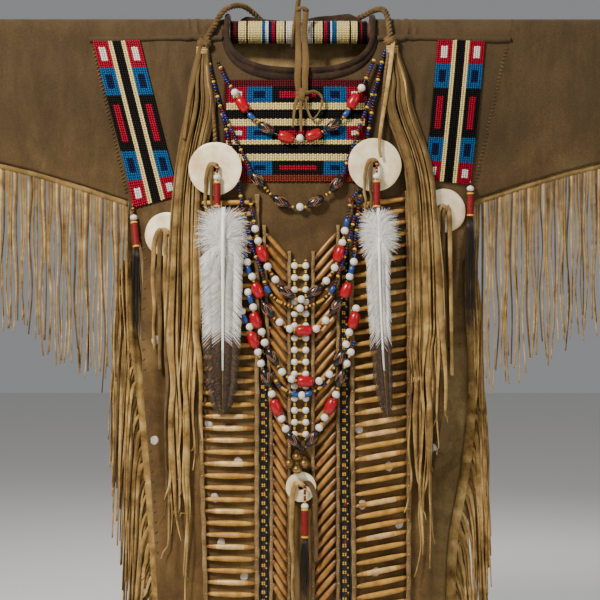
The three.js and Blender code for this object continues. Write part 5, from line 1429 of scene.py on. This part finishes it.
# Feathers: down at the top, then a vane of barbs on both sides of a shaft. Heights and widths in mm
FEATHER_TOP, VANE_TOP, BLADE_END = -420, -474, -765
BLADE = [(-420, 5), (-432, 32), (-452, 44), (-485, 42), (-512, 38), (-570, 37), (-650, 33), (-715, 28),
         (-748, 18), (-765, 4)]
BARBS, DOWN_HAIRS = 430, 1400
BARB_THIN = Vector((0, 0.00035, 0))
FEATHERS = [("feather_left", "chest_left", -128, -129, -766, 1.0, 71),
            ("feather_right", "chest_right", 131, 147, -772, 0.56, 72)]
for name, drop_name, middle, tip_x, tip, wide, seed in FEATHERS:
    drop_y = DROP_END[drop_name][1]

    def shaft_at(z):
        t = (z - FEATHER_TOP) / (tip - FEATHER_TOP)
        x = lerp(middle, tip_x, t * t)
        y = drop_y - 0.017 * smooth(clamp((FEATHER_TOP - z) / 70)) + 0.012 * t * t
        return Vector((x / 1000, y, z / 1000))

    def half_at(z):
        row_z = lerp(FEATHER_TOP, BLADE_END, (z - FEATHER_TOP) / (tip - FEATHER_TOP))
        for (za, ha), (zb, hb) in zip(BLADE, BLADE[1:]):
            if row_z >= zb:
                return lerp(ha, hb, (row_z - za) / (zb - za)) * wide
        return BLADE[-1][1] * wide

    feather = Build()
    # The left feather's shaft stands proud of the down
    proud = 0.0090 if name == "feather_left" else 0.0
    pale = []
    for k in range(31):
        stand = 0.0022 + proud * smooth(clamp(k / 3)) * (1 - smooth(clamp((k - 5) / 12)))
        pale.append(shaft_at(lerp(-418, -660, k / 30)) + OUT * stand)
    tube(feather, pale, lambda t: 0.0036 * wide ** 0.5 * (1 - 0.45 * t), 10, 3)
    fade = [shaft_at(lerp(-650, -690, k / 8)) + OUT * 0.0016 for k in range(9)]
    tube(feather, fade, lambda t: 0.0021 - 0.0004 * t, 10, 1)
    dim = [shaft_at(lerp(-680, tip + 2, k / 16)) for k in range(17)]
    tube(feather, dim, lambda t: 0.0019 * (1 - 0.6 * t), 8, 5)
    rng = random.Random(seed)
    barb_width = abs(tip + 480) / (BARBS - 1) / 1000 * 3.0
    for side in (-1, 1):
        split = 0.0
        for k in range(BARBS):
            z = lerp(VANE_TOP, tip + 6, k / (BARBS - 1))
            root = shaft_at(z)
            if k % 40 == 0:
                split = rng.uniform(-2, 3)
            droop = (0.027 + 0.006 * rng.random()) * clamp((z - tip) / 110, 0.12, 1)
            half = half_at(max(tip, z - droop * 850)) * (1.0 if side < 0 else 0.86)
            half = max(1.5, half + split * 0.3 + rng.uniform(-0.8, 0.8)) / 1000
            curl = 0.0030 * side * math.sin(k * 0.02)
            mid = root + Vector((side * half * 0.55, -0.0012 + curl * 0.3, -droop * 0.45))
            end = root + Vector((side * half, 0.0010 + curl, -droop))
            dark_from = -640 + 16 * math.sin(k * 0.9) * rng.random() + rng.uniform(-8, 8)
            plain = 1 if rng.random() < 0.10 + 0.25 * clamp((-560 - z) / 90) else 0
            inner_mat = 2 if z - droop * 300 < dark_from else plain
            outer_mat = 2 if z - droop * 800 < dark_from else (plain if rng.random() < 0.8 else 1)
            for p, q, mat, from_share, to_share in ((root, mid, inner_mat, 1, 0.8),
                                                    (mid, end, outer_mat, 0.8, 0.35)):
                up = Vector((0, 0, barb_width * from_share))
                tail = up * to_share
                feather.loft([[p - BARB_THIN, p + up - BARB_THIN, p + up + BARB_THIN, p + BARB_THIN],
                              [q - BARB_THIN, q + tail - BARB_THIN, q + tail + BARB_THIN, q + BARB_THIN]],
                             [mat])
    # Down: fine soft hairs in a ball round the top of the shaft
    for _ in range(DOWN_HAIRS):
        root = shaft_at(-438 - 42 * rng.random())
        a, lean = rng.uniform(0, TURN), rng.uniform(-1, 1)
        reach = 0.048 * wide ** 0.5 * (0.40 + 0.60 * rng.random() ** 0.7)
        if math.sin(a) > 0:
            reach = min(reach, (-0.409 - root.z) * (0.5 + 0.5 * rng.random()) / math.sin(a))
        way = Vector((math.cos(a), 0.28 * lean, math.sin(a)))
        mid = root + way * reach * 0.6
        end = root + way * reach + Vector((0.004 * rng.uniform(-1, 1), 0, -0.006 * rng.random()))
        tube(feather, spline([root, mid, end], 6), lambda t: 0.00050 * (1 - 0.7 * t), 3, 4)
    feather.object(name + "_barbs", [M_VANE, M_VANE_GREY, M_VANE_DARK, M_SHAFT, M_DOWN, M_DARK_THONG],
                   slot="feather", replaces=[name])

# Breastplate: centre lines of the spacer strips by height, in metres
LINES = [(-0.330, -0.186, -0.0723, 0.180, 0.085, -0.061, 0.064),
         (-0.440, -0.181, -0.0723, 0.183, 0.086, -0.0606, 0.064),
         (-0.620, -0.175, -0.0723, 0.184, 0.087, -0.0545, 0.064),
         (-0.780, -0.168, -0.0723, 0.184, 0.088, -0.0485, 0.064),
         (-1.150, -0.157, -0.0723, 0.184, 0.092, -0.0485, 0.064)]
OUTER_LEFT, INNER_LEFT, OUTER_RIGHT, INNER_RIGHT, CHEV_LEFT, CHEV_RIGHT = 1, 2, 3, 4, 5, 6
PIPE_BACK, PIPE_FRONT = 0.0014, 0.0084
PIPE_MIDDLE = (PIPE_BACK + PIPE_FRONT) / 2
PIPE_STEPS, PIPE_SIDES, SPACER_STEPS = 14, 9, 110
OUTER_MATS = [M_BONE, M_AMBER, M_SPACER, M_BONE_DARK, M_BONE_PALE, M_THREAD]
INNER_MATS = [M_BONE_INNER, M_AMBER, M_SPACER, M_BONE_DARK, M_BONE, M_THREAD]


def line(col, aside=0.0):
    return lambda z: column(LINES, col, z) + aside


def spacer(build, edge, first, base, width):
    """One spacer strip of hide along an edge line."""
    rings = []
    for k in range(SPACER_STEPS + 1):
        z = lerp(first, base, k / SPACER_STEPS)
        x = edge(z) + 0.0005 * math.sin(k * 0.9)
        half = width / 2 * (0.94 + 0.06 * math.cos(k * 1.7))
        rings.append([on_front(x + half * share, z, lift) for share, lift in
                      ((-1, PIPE_BACK), (-1, PIPE_FRONT - 0.0008), (-0.6, PIPE_FRONT), (0.6, PIPE_FRONT),
                       (1, PIPE_FRONT - 0.0008), (1, PIPE_BACK))])
    build.loft(rings, [2] * SPACER_STEPS)


def pipe(build, k, start, end, fat, inner):
    """One bone pipe, fat in the middle, from start to end in x and z."""
    (xa, za), (xb, zb) = start, end
    grow = fat * (1 + 0.06 * hashed(k, 82))
    points, radii = [], []
    for s in range(PIPE_STEPS + 1):
        t = s / PIPE_STEPS
        z = lerp(za, zb, t) + 0.0004 * hashed(k, 83) * math.sin(math.pi * t)
        points.append(on_front(lerp(xa, xb, t), z, PIPE_MIDDLE))
        r = grow * (0.50 + 0.50 * math.sin(math.pi * clamp(0.06 + 0.88 * t)) ** 0.8)
        radii.append(r * 0.8 if s in (0, PIPE_STEPS) else r)
    rings = []
    for p, r, (_, u, v) in zip(points, radii, frame_along(points)):
        rings.append(round_ring(p, u, v, r, PIPE_SIDES))
    shade = hashed(k, 84)
    mats = []
    for s in range(PIPE_STEPS):
        t = (s + 0.5) / PIPE_STEPS
        near_end = min(t, 1 - t)
        if inner:
            mats.append(3 if near_end < 0.13 else (1 if shade < 0.35 else 0))
        else:
            mats.append(1 if near_end < 0.10 + 0.05 * shade else (4 if shade > 0.0 and near_end > 0.2 else 0))
    build.loft(rings, mats)


def ladder(part, edges, span, pitch, drops, inner):
    """Two spacer strips of hide with bone pipes strung between them; drops lower the pipes' ends."""
    build = Build()
    top, bottom = span
    width, fat = (0.006, 0.0046) if inner else (0.008, 0.0047)
    for edge, drop in zip(edges, drops):
        spacer(build, edge, top - drop + 0.004, bottom - max(drops) - 0.010, width)
    for k in range(int((top - bottom) / pitch + 1e-9)):
        za, zb = (top - drop - pitch * (k + 0.5) for drop in drops)
        xa, xb = edges[0](za) + width / 2 - 0.0006, edges[1](zb) - width / 2 + 0.0006
        pipe(build, k, (xa, za), (xb, zb), fat, inner)
        # The thong that ties each pipe's end to the strip
        for x, z in ((xa - 0.0030, za), (xb + 0.0030, zb)):
            knot = on_front(x, z, PIPE_FRONT + 0.0002)
            lathe(build, knot, Vector((1, 0, 0)), bead_profile(0.0016, 0.0013, 3), 6, 5)
    build.object("pipes_" + part, INNER_MATS if inner else OUTER_MATS, slot="bone_pipes",
                 replaces=["breastplate_" + part])


LEFT_MIDDLE, RIGHT_MIDDLE = -0.018, 0.022
OUTER_SPAN, INNER_SPAN = (-0.398, -1.100), (-0.450, -1.062)
ladder("outer_left", (line(OUTER_LEFT), line(INNER_LEFT)), OUTER_SPAN, 0.020, (0, 0), False)
ladder("outer_right", (line(INNER_RIGHT), line(OUTER_RIGHT)), OUTER_SPAN, 0.0194, (0.007, -0.007), False)
ladder("inner_left", (line(CHEV_LEFT), lambda z: LEFT_MIDDLE), INNER_SPAN, 0.0196, (0, 0.044), True)
ladder("inner_right", (lambda z: RIGHT_MIDDLE, line(CHEV_RIGHT)), INNER_SPAN, 0.0196, (0.044, 0), True)

# Bands of black seed beads with gold dots between the ladders: edges and top
SEED_BANDS = [("left", line(INNER_LEFT, 0.0045), line(CHEV_LEFT, -0.0035), -0.640),
              ("right", line(CHEV_RIGHT, 0.0035), line(INNER_RIGHT, -0.0045), -0.470)]
BAND_BOTTOM, BAND_PITCH, BAND_ACROSS = -1.108, 0.0030, 5
for name, left, right, top in SEED_BANDS:
    band = Build()
    backing = []
    for k in range(25):
        z = lerp(top, BAND_BOTTOM, k / 24)
        backing.append([on_front(edge(z), z, lift) for edge, lift in
                        ((left, 0.0060), (right, 0.0060), (right, 0.0012), (left, 0.0012))])
    band.loft(backing, [0] * 24)
    rows = int((top - BAND_BOTTOM) / BAND_PITCH)
    for j in range(rows):
        z = lerp(top, BAND_BOTTOM, (j + 0.5) / rows)
        for i in range(BAND_ACROSS):
            x = lerp(left(z) + 0.0012, right(z) - 0.0012, i / (BAND_ACROSS - 1))
            gold = (j % 5 in (0, 1) and i in (1, 2)) or (j % 5 in (2, 3) and i == 3 and j % 2)
            red = (j % 21) in (0, 1) and i == 2
            lathe(band, on_front(x, z, 0.0064), UP, bead_profile(0.0014, 0.0017, 2), 5,
                  1 if gold else (2 if red else 0))
    band.object(f"seed_band_{name}", [M_BLACK, M_GOLD, M_RED], slot="dark_beads",
                replaces=[f"bead_band_{name}"])

# Centre ladder: pairs of white beads with a gold tube between, on two cords
PAIR_X = (-0.0092, 0.0097)
PAIR_TOP, PAIR_PITCH, PAIRS = -0.5145, 0.0202, 15
centre = Build()
for x in PAIR_X:
    tube(centre, [on_front(x, lerp(-0.5030, -0.8090, k / 60), 0.0065) for k in range(61)], 0.0011, 6, 2)
for k in range(PAIRS):
    z = PAIR_TOP - PAIR_PITCH * k
    for x in PAIR_X:
        lathe(centre, on_front(x, z, 0.0066), UP, bead_profile(0.0056, 0.0061, 7), 14, 0)
    lathe(centre, on_front(0.0002, z, 0.0064), Vector((1, 0, 0)), bead_profile(0.0044, 0.0025, 4), 8, 1)
    for dz in (0.0088, -0.0088):
        for x in PAIR_X:
            lathe(centre, on_front(x, z + dz, 0.0065), UP, bead_profile(0.0016, 0.0022, 3), 8, 1)
centre.object("centre_bead_ladder", [M_WHITE, M_GOLD, M_DARK_THONG], slot="light_beads",
              replaces=["centre_ladder"])

# Bells: small brass crotals with a slit painted as a dark strip of shade, a waist band and a loop. x, z and
# lift in mm
BELLS = [(-17.2, -845, 17.3), (7.6, -845, 17.3), (-5, -854.6, 21), (-4.8, -834, 16.8)]
BELL_RADIUS, BELL_STEPS, LOOP_SIDES = 0.0080, 16, 12
SLIT_HALF, SLIT_DROP = 0.0062, 0.0042
for k, place in enumerate(BELLS):
    mid = on_front_mm(*place)
    bell = Build()
    profile = []
    for s in range(BELL_STEPS + 1):
        a = math.pi * s / BELL_STEPS
        r = BELL_RADIUS * math.sin(a)
        if 7 <= s <= 9:
            r += 0.0005
        profile.append((-BELL_RADIUS * math.cos(a), max(0.0006, r)))
    way = Vector((0.25 * hashed(k, 91), 0.2 * hashed(k, 92), 1)).normalized()
    lathe(bell, mid, way, profile, 28, 0)
    # The slit is a thin dark strip laid on the closed bell: painted shade for the opening into its hollow.
    slit = []
    for share in (-1, -0.5, 0, 0.5, 1):
        dx = share * SLIT_HALF
        depth = math.sqrt(max(0, BELL_RADIUS ** 2 - dx ** 2 - SLIT_DROP ** 2)) + 0.0002
        slit.append(mid + Vector((dx, -depth, -SLIT_DROP)))
    strap(bell, slit, 0.0011, 0.0006, mat=1, wide=UP)
    ring = []
    for i in range(LOOP_SIDES):
        a = TURN * i / LOOP_SIDES
        ring.append(mid + Vector((0.0022 * math.cos(a), 0, 0.0088 + 0.0020 * math.sin(a))))
    tube(bell, ring, 0.0005, 6, 0, True)
    bell.object(f"crotal_{k + 1}", [M_BRASS, M_BELL_SLIT_SHADE], slot="brass", replaces=[f"bell_{k + 1}"])

# Bead strands: each bead's kind and place in mm, as the CAD has them
STRANDS = [
    ("strand_1", 0.0109,
     "seed -139 -168|seed -126 -198|white -110 -222|red -97 -243|blue -82 -263|black -56 -283|"
     "red -23 -299|white 0 -300|red 23 -295|black 56 -278|blue 78 -258|red 90 -237|white 104 -214|"
     "seed 119 -181|seed 126 -164"),
    ("strand_2", 0.0103,
     "seed -140 -234|seed -126 -263|seed -109 -300|seed -88 -343|black -71 -370|black -32 -407|"
     "white 0 -416|black 26 -407|black 61 -377|seed 88 -317|seed 102 -275|seed 119 -232|"
     "seed 129 -207"),
    ("strand_3", 0.0168,
     "seed -92 -430|seed -80 -484|seed -66 -520|blue -54 -555|gold -36 -574|white 0 -586|"
     "gold 34 -574|blue 54 -555|seed 68 -520|seed 83 -470|seed 92 -430"),
    ("strand_4", 0.0170,
     "seed -84 -400|white -75 -453|white -70 -473|red -63 -495|white -54 -516|white -41 -538|"
     "black -23 -559|white 2 -571|black 25 -557|white 44 -540|white 58 -518|red 65 -495|"
     "white 71 -476|white 75 -456|blue 78 -442|seed 85 -406|seed 99 -387"),
    ("strand_5", 0.0189,
     "white -88 -509|blue -86 -522|white -80 -533|red -71 -556|black -54 -588|white -34 -609|"
     "white -17 -620|red 7 -623|white 27 -620|white 43 -606|black 60 -583|red 77 -556|"
     "white 83 -533|blue 86 -522|white 90 -508|seed 94 -489"),
    ("strand_6", 0.0189,
     "white -87 -559|blue -83 -571|white -78 -584|red -74 -606|white -64 -625|white -59 -643|"
     "black -46 -667|white -30 -692|white -14 -704|red 9 -708|white 32 -707|white 49 -696|"
     "black 66 -669|white 77 -646|white 82 -626|red 90 -606|white 94 -586"),
    ("strand_7", 0.0168,
     "seed -45 -693|seed -39 -710|gold -28 -720|blue -9 -729|white 3 -731|blue 14 -729|"
     "gold 33 -719|seed 44 -709"),
    ("strand_8", 0.0183,
     "white -97 -591|blue -92 -604|white -84 -617|red -78 -639|white -70 -659|white -65 -678|"
     "black -56 -702|white -47 -729|red -40 -751|white -31 -770|white -24 -787|black -11 -806|"
     "seed 5 -822|black 20 -803|white 32 -785|white 41 -768|red 51 -749|white 60 -730|"
     "black 68 -702|white 78 -678|white 85 -659|seed 92 -640"),
]
# A facetted barrel: share of the half length, share of the radius
BARREL = [(-0.97, 0.40), (-0.94, 0.62), (-0.80, 0.80), (-0.50, 0.94), (0, 0.98), (0.50, 0.94), (0.80, 0.80),
          (0.94, 0.62), (0.97, 0.40)]
TUBE_BEAD = [(-1, 0.8), (-0.85, 1), (0.85, 1), (1, 0.8)]
# Half length and radius of each kind of bead
BEAD_SIZE = {"white": (0.0060, 0.0066), "red": (0.0140, 0.0096), "black": (0.0170, 0.0086),
             "blue": (0.0065, 0.0046), "gold": (0.0040, 0.0034), "seed": (0.0, 0.0030)}
STRAND_MATS = [M_WHITE, M_RED, M_BLACK, M_BLUE, M_GOLD, M_MAROON, M_CORAL, M_THREAD, M_NAVY]
# The order in which the small beads' materials follow each other on the strands
SEED_ORDER = (2, 2, 4, 5, 5, 8, 8, 2, 4, 8, 8, 5)
SPACER_ORDER = (4, 5, 4, 2)


def trail(build, mid, way, half, radius, seed):
    """The wavy glass trail on a large black bead."""
    side = OUT - way * -way.y
    side.normalize()
    other = way.cross(side)
    for loop, mat in ((0, 7), (1, 6)):
        path = []
        for s in range(25):
            t = s / 24
            a = TURN * t + seed + loop * 2.2
            along = half * 0.46 * math.sin(3 * TURN * t + loop * 1.5)
            r = radius * (math.sin(math.pi * (0.5 + 0.38 * along / half)) + 0.02)
            path.append(mid + way * along + (side * math.cos(a) + other * math.sin(a)) * r)
        tube(build, path, 0.00036, 5, mat)


def strand_bead(build, kind, mid, way, seed):
    """One large bead; a seed bead's place is left to the small beads between."""
    half, radius = BEAD_SIZE[kind]
    if kind == "white":
        lathe(build, mid, way, bead_profile(half, radius, 8), 16, 0)
    elif kind == "red":
        lathe(build, mid, way, [(half * t, radius * r) for t, r in BARREL], 18, 1)
    elif kind == "black":
        lathe(build, mid, way, bead_profile(half * 0.93, radius * 0.95, 10), 18, 2)
        trail(build, mid, way, half, radius * 0.95, seed)
    elif kind == "blue":
        lathe(build, mid, way, [(half * t, radius * r) for t, r in TUBE_BEAD], 10, 3)
    elif kind == "gold":
        for s in (-1, 0, 1):
            lathe(build, mid + way * s * 0.0026, way, bead_profile(0.0013, 0.0030, 3), 8, 4)


for name, base, text in STRANDS:
    rows = [row.split(" ") for row in text.split("|")]
    beads = [(kind, float(x) / 1000, float(z) / 1000) for kind, x, z in rows]
    build = Build()
    spans = []
    for i, (kind, x, z) in enumerate(beads):
        before, after = beads[max(0, i - 1)], beads[min(len(beads) - 1, i + 1)]
        flat = Vector((after[1] - before[1], 0, after[2] - before[2])).normalized()
        half = BEAD_SIZE[kind][0]
        mid = on_front(x, z, base)
        a, b = (on_front(x + flat.x * reach, z + flat.z * reach, base) for reach in (-half, half))
        spans.append((a, mid, b))
        strand_bead(build, kind, mid, (b - a).normalized() if half else flat, i * 1.7)
    for i, ((_, from_mid, start), (stop, to_mid, _)) in enumerate(zip(spans, spans[1:])):

        def between(t):
            return on_front(lerp(start.x, stop.x, t), lerp(start.z, stop.z, t), base)

        cord_points = [from_mid] + [between(k / 4) for k in range(5)] + [to_mid]
        tube(build, spline(cord_points, 18), 0.0009, 5, 7)
        seedy = "seed" in (beads[i][0], beads[i + 1][0])
        half, radius = (0.0022, 0.0036) if seedy else (0.0015, 0.0027)
        count = int((stop - start).length / (half * 2.05))
        for s in range(count):
            mat = SEED_ORDER[(s + i * 5) % 12] if seedy else SPACER_ORDER[(s + i) % 4]
            lathe(build, between((s + 0.5) / count), stop - start, bead_profile(half, radius, 4), 10, mat)
    build.object(name + "_beads", STRAND_MATS, slot="dark_beads" if name == "strand_2" else "light_beads",
                 replaces=[name])

# Seed-bead hanks that run from the necklaces' ends up to the shoulder knots, x and z in mm
HANKS = [
    ("left", [(-90, -508), (-95, -428), (-109, -351), (-129, -266), (-148, -198), (-158, -152)]),
    ("right", [(90, -508), (97, -428), (109, -334), (122, -249), (136, -181), (146, -144)]),
]
HANK_ORDER = (0, 0, 4, 4, 1, 2, 2, 0, 4, 4, 1)
for name, rows in HANKS:
    hank = Build()
    route = [on_front(x / 1000, z / 1000, 0.0062 + 0.0076 * smooth(clamp((-z - 360) / 80))) for x, z in rows]
    length = sum((b - a).length for a, b in zip(route, route[1:]))
    pts = spline(route, int(length / 0.0052))
    tube(hank, pts[::4], 0.0006, 4, 3)
    for s in range(1, len(pts) - 1):
        way = pts[s + 1] - pts[s - 1]
        lathe(hank, pts[s], way, bead_profile(0.0025, 0.0037, 4), 12, HANK_ORDER[s % 11])
    hank.object(f"seed_hank_{name}", [M_BLACK, M_GOLD, M_MAROON, M_THREAD, M_NAVY], slot="dark_beads")

# Daubs of white paint on the hide: x and z in mm
DAUBS = [(-245, -640), (-247, -810), (-155, -783), (-104, -844), (-144, -906), (-133, -982), (-94, -1038),
         (209, -481), (224, -540), (99, -790), (150, -853), (105, -917), (168, -951), (128, -1031),
         (224, -822)]
DAUB_RADIUS, DAUB_SIDES = 0.007, 22


def on_skin(x, z, lift):
    return on_front(x, z, front_skin(x, z) + lift)


daubs = Build()
for k, (x, z) in enumerate(DAUBS):
    x, z, r = x / 1000, z / 1000, DAUB_RADIUS
    mid = daubs.point(on_skin(x, z, 0.0007))
    inner, outer, skirt = [], [], []
    for s in range(DAUB_SIDES):
        a = TURN * s / DAUB_SIDES
        wob = 1 + 0.06 * math.sin(2 * a + k) + 0.03 * math.sin(5 * a + 2 * k)
        for ring, share, lift in ((inner, 0.6, 0.0007), (outer, 0.96, 0.0005), (skirt, 1.0, -0.0002)):
            px, pz = x + r * wob * share * math.cos(a), z + 1.15 * r * wob * share * math.sin(a)
            ring.append(daubs.point(on_skin(px, pz, lift)))
    under = daubs.point(on_skin(x, z, -0.0003))
    for s in range(DAUB_SIDES):
        t = (s + 1) % DAUB_SIDES
        daubs.face((mid, inner[s], inner[t]))
        daubs.face((inner[s], outer[s], outer[t], inner[t]))
        daubs.face((outer[s], skirt[s], skirt[t], outer[t]))
        daubs.face((under, skirt[t], skirt[s]))
daubs.object("paint_daubs", [M_PAINT], slot="hide")

# Whip lacing along the front hide's side edges and round the armholes
lacing = Build()
for side, _ in SIDES:
    for k in range(34):
        z = lerp(-0.430, -1.000, k / 33)
        x = edge_at(FRONT_EDGES, side, z) - side * 0.006
        lift = front_skin(x, z) + 0.0004
        a, b = on_front(x, z, lift), on_front(x + side * 0.004, z - 0.003, lift)
        strap(lacing, [a, a.lerp(b, 0.5) + OUT * 0.0008, b], 0.0022, 0.0010)
    for k in range(40):
        z = lerp(-0.140, -0.385, k / 39)
        x = side * (armhole(z) - 0.0035)
        a, b = on_front(x, z, 0.0004), on_front(x + side * 0.0060, z - 0.003, 0.0004)
        strap(lacing, [a, a.lerp(b, 0.5) + OUT * 0.0010, b], 0.0018, 0.0009)
lacing.object("whip_lacing", [M_DARK_THONG], slot="thong")

# Floor, lights and background
FLOOR_Z = -1.34
floor_mat, _, floor_shader = material("floor_mat")
dress(floor_shader, {"Base Color": (0.80, 0.79, 0.77, 1), "Roughness": 0.9})
floor_mesh = bpy.data.meshes.new("floor")
floor_corners = [(-12, -8, FLOOR_Z), (12, -8, FLOOR_Z), (12, 10, FLOOR_Z), (-12, 10, FLOOR_Z)]
floor_mesh.from_pydata(floor_corners, [], [(0, 1, 2, 3)])
floor_mesh.materials.append(floor_mat)
floor = bpy.data.objects.new("floor", floor_mesh)
bpy.context.collection.objects.link(floor)

world = bpy.data.worlds.new("studio")
bpy.context.scene.world = world
world.use_nodes = True
dress(world.node_tree.nodes["Background"], {"Color": (0.93, 0.94, 0.96, 1), "Strength": 0.27})
# Name, place, what it looks at, size, power, colour
LAMPS = [("key", (-1.25, -1.7, 1.15), (0, 0, -0.60), 0.45, 118, (1.0, 0.93, 0.83)),
         ("fill", (1.9, -2.0, 0.2), (0, 0, -0.6), 1.2, 16, (1.0, 1.0, 1.0)),
         ("rim", (0.6, 1.8, 1.0), (0, 0, -0.5), 1.4, 30, (1.0, 1.0, 1.0))]
for name, place, aim, size, power, colour in LAMPS:
    data = bpy.data.lights.new(name, "AREA")
    data.size = size
    data.energy = power
    data.color = colour
    lamp = bpy.data.objects.new(name, data)
    lamp.location = place
    lamp.rotation_euler = (Vector(aim) - Vector(place)).to_track_quat("-Z", "Y").to_euler()
    bpy.context.collection.objects.link(lamp)
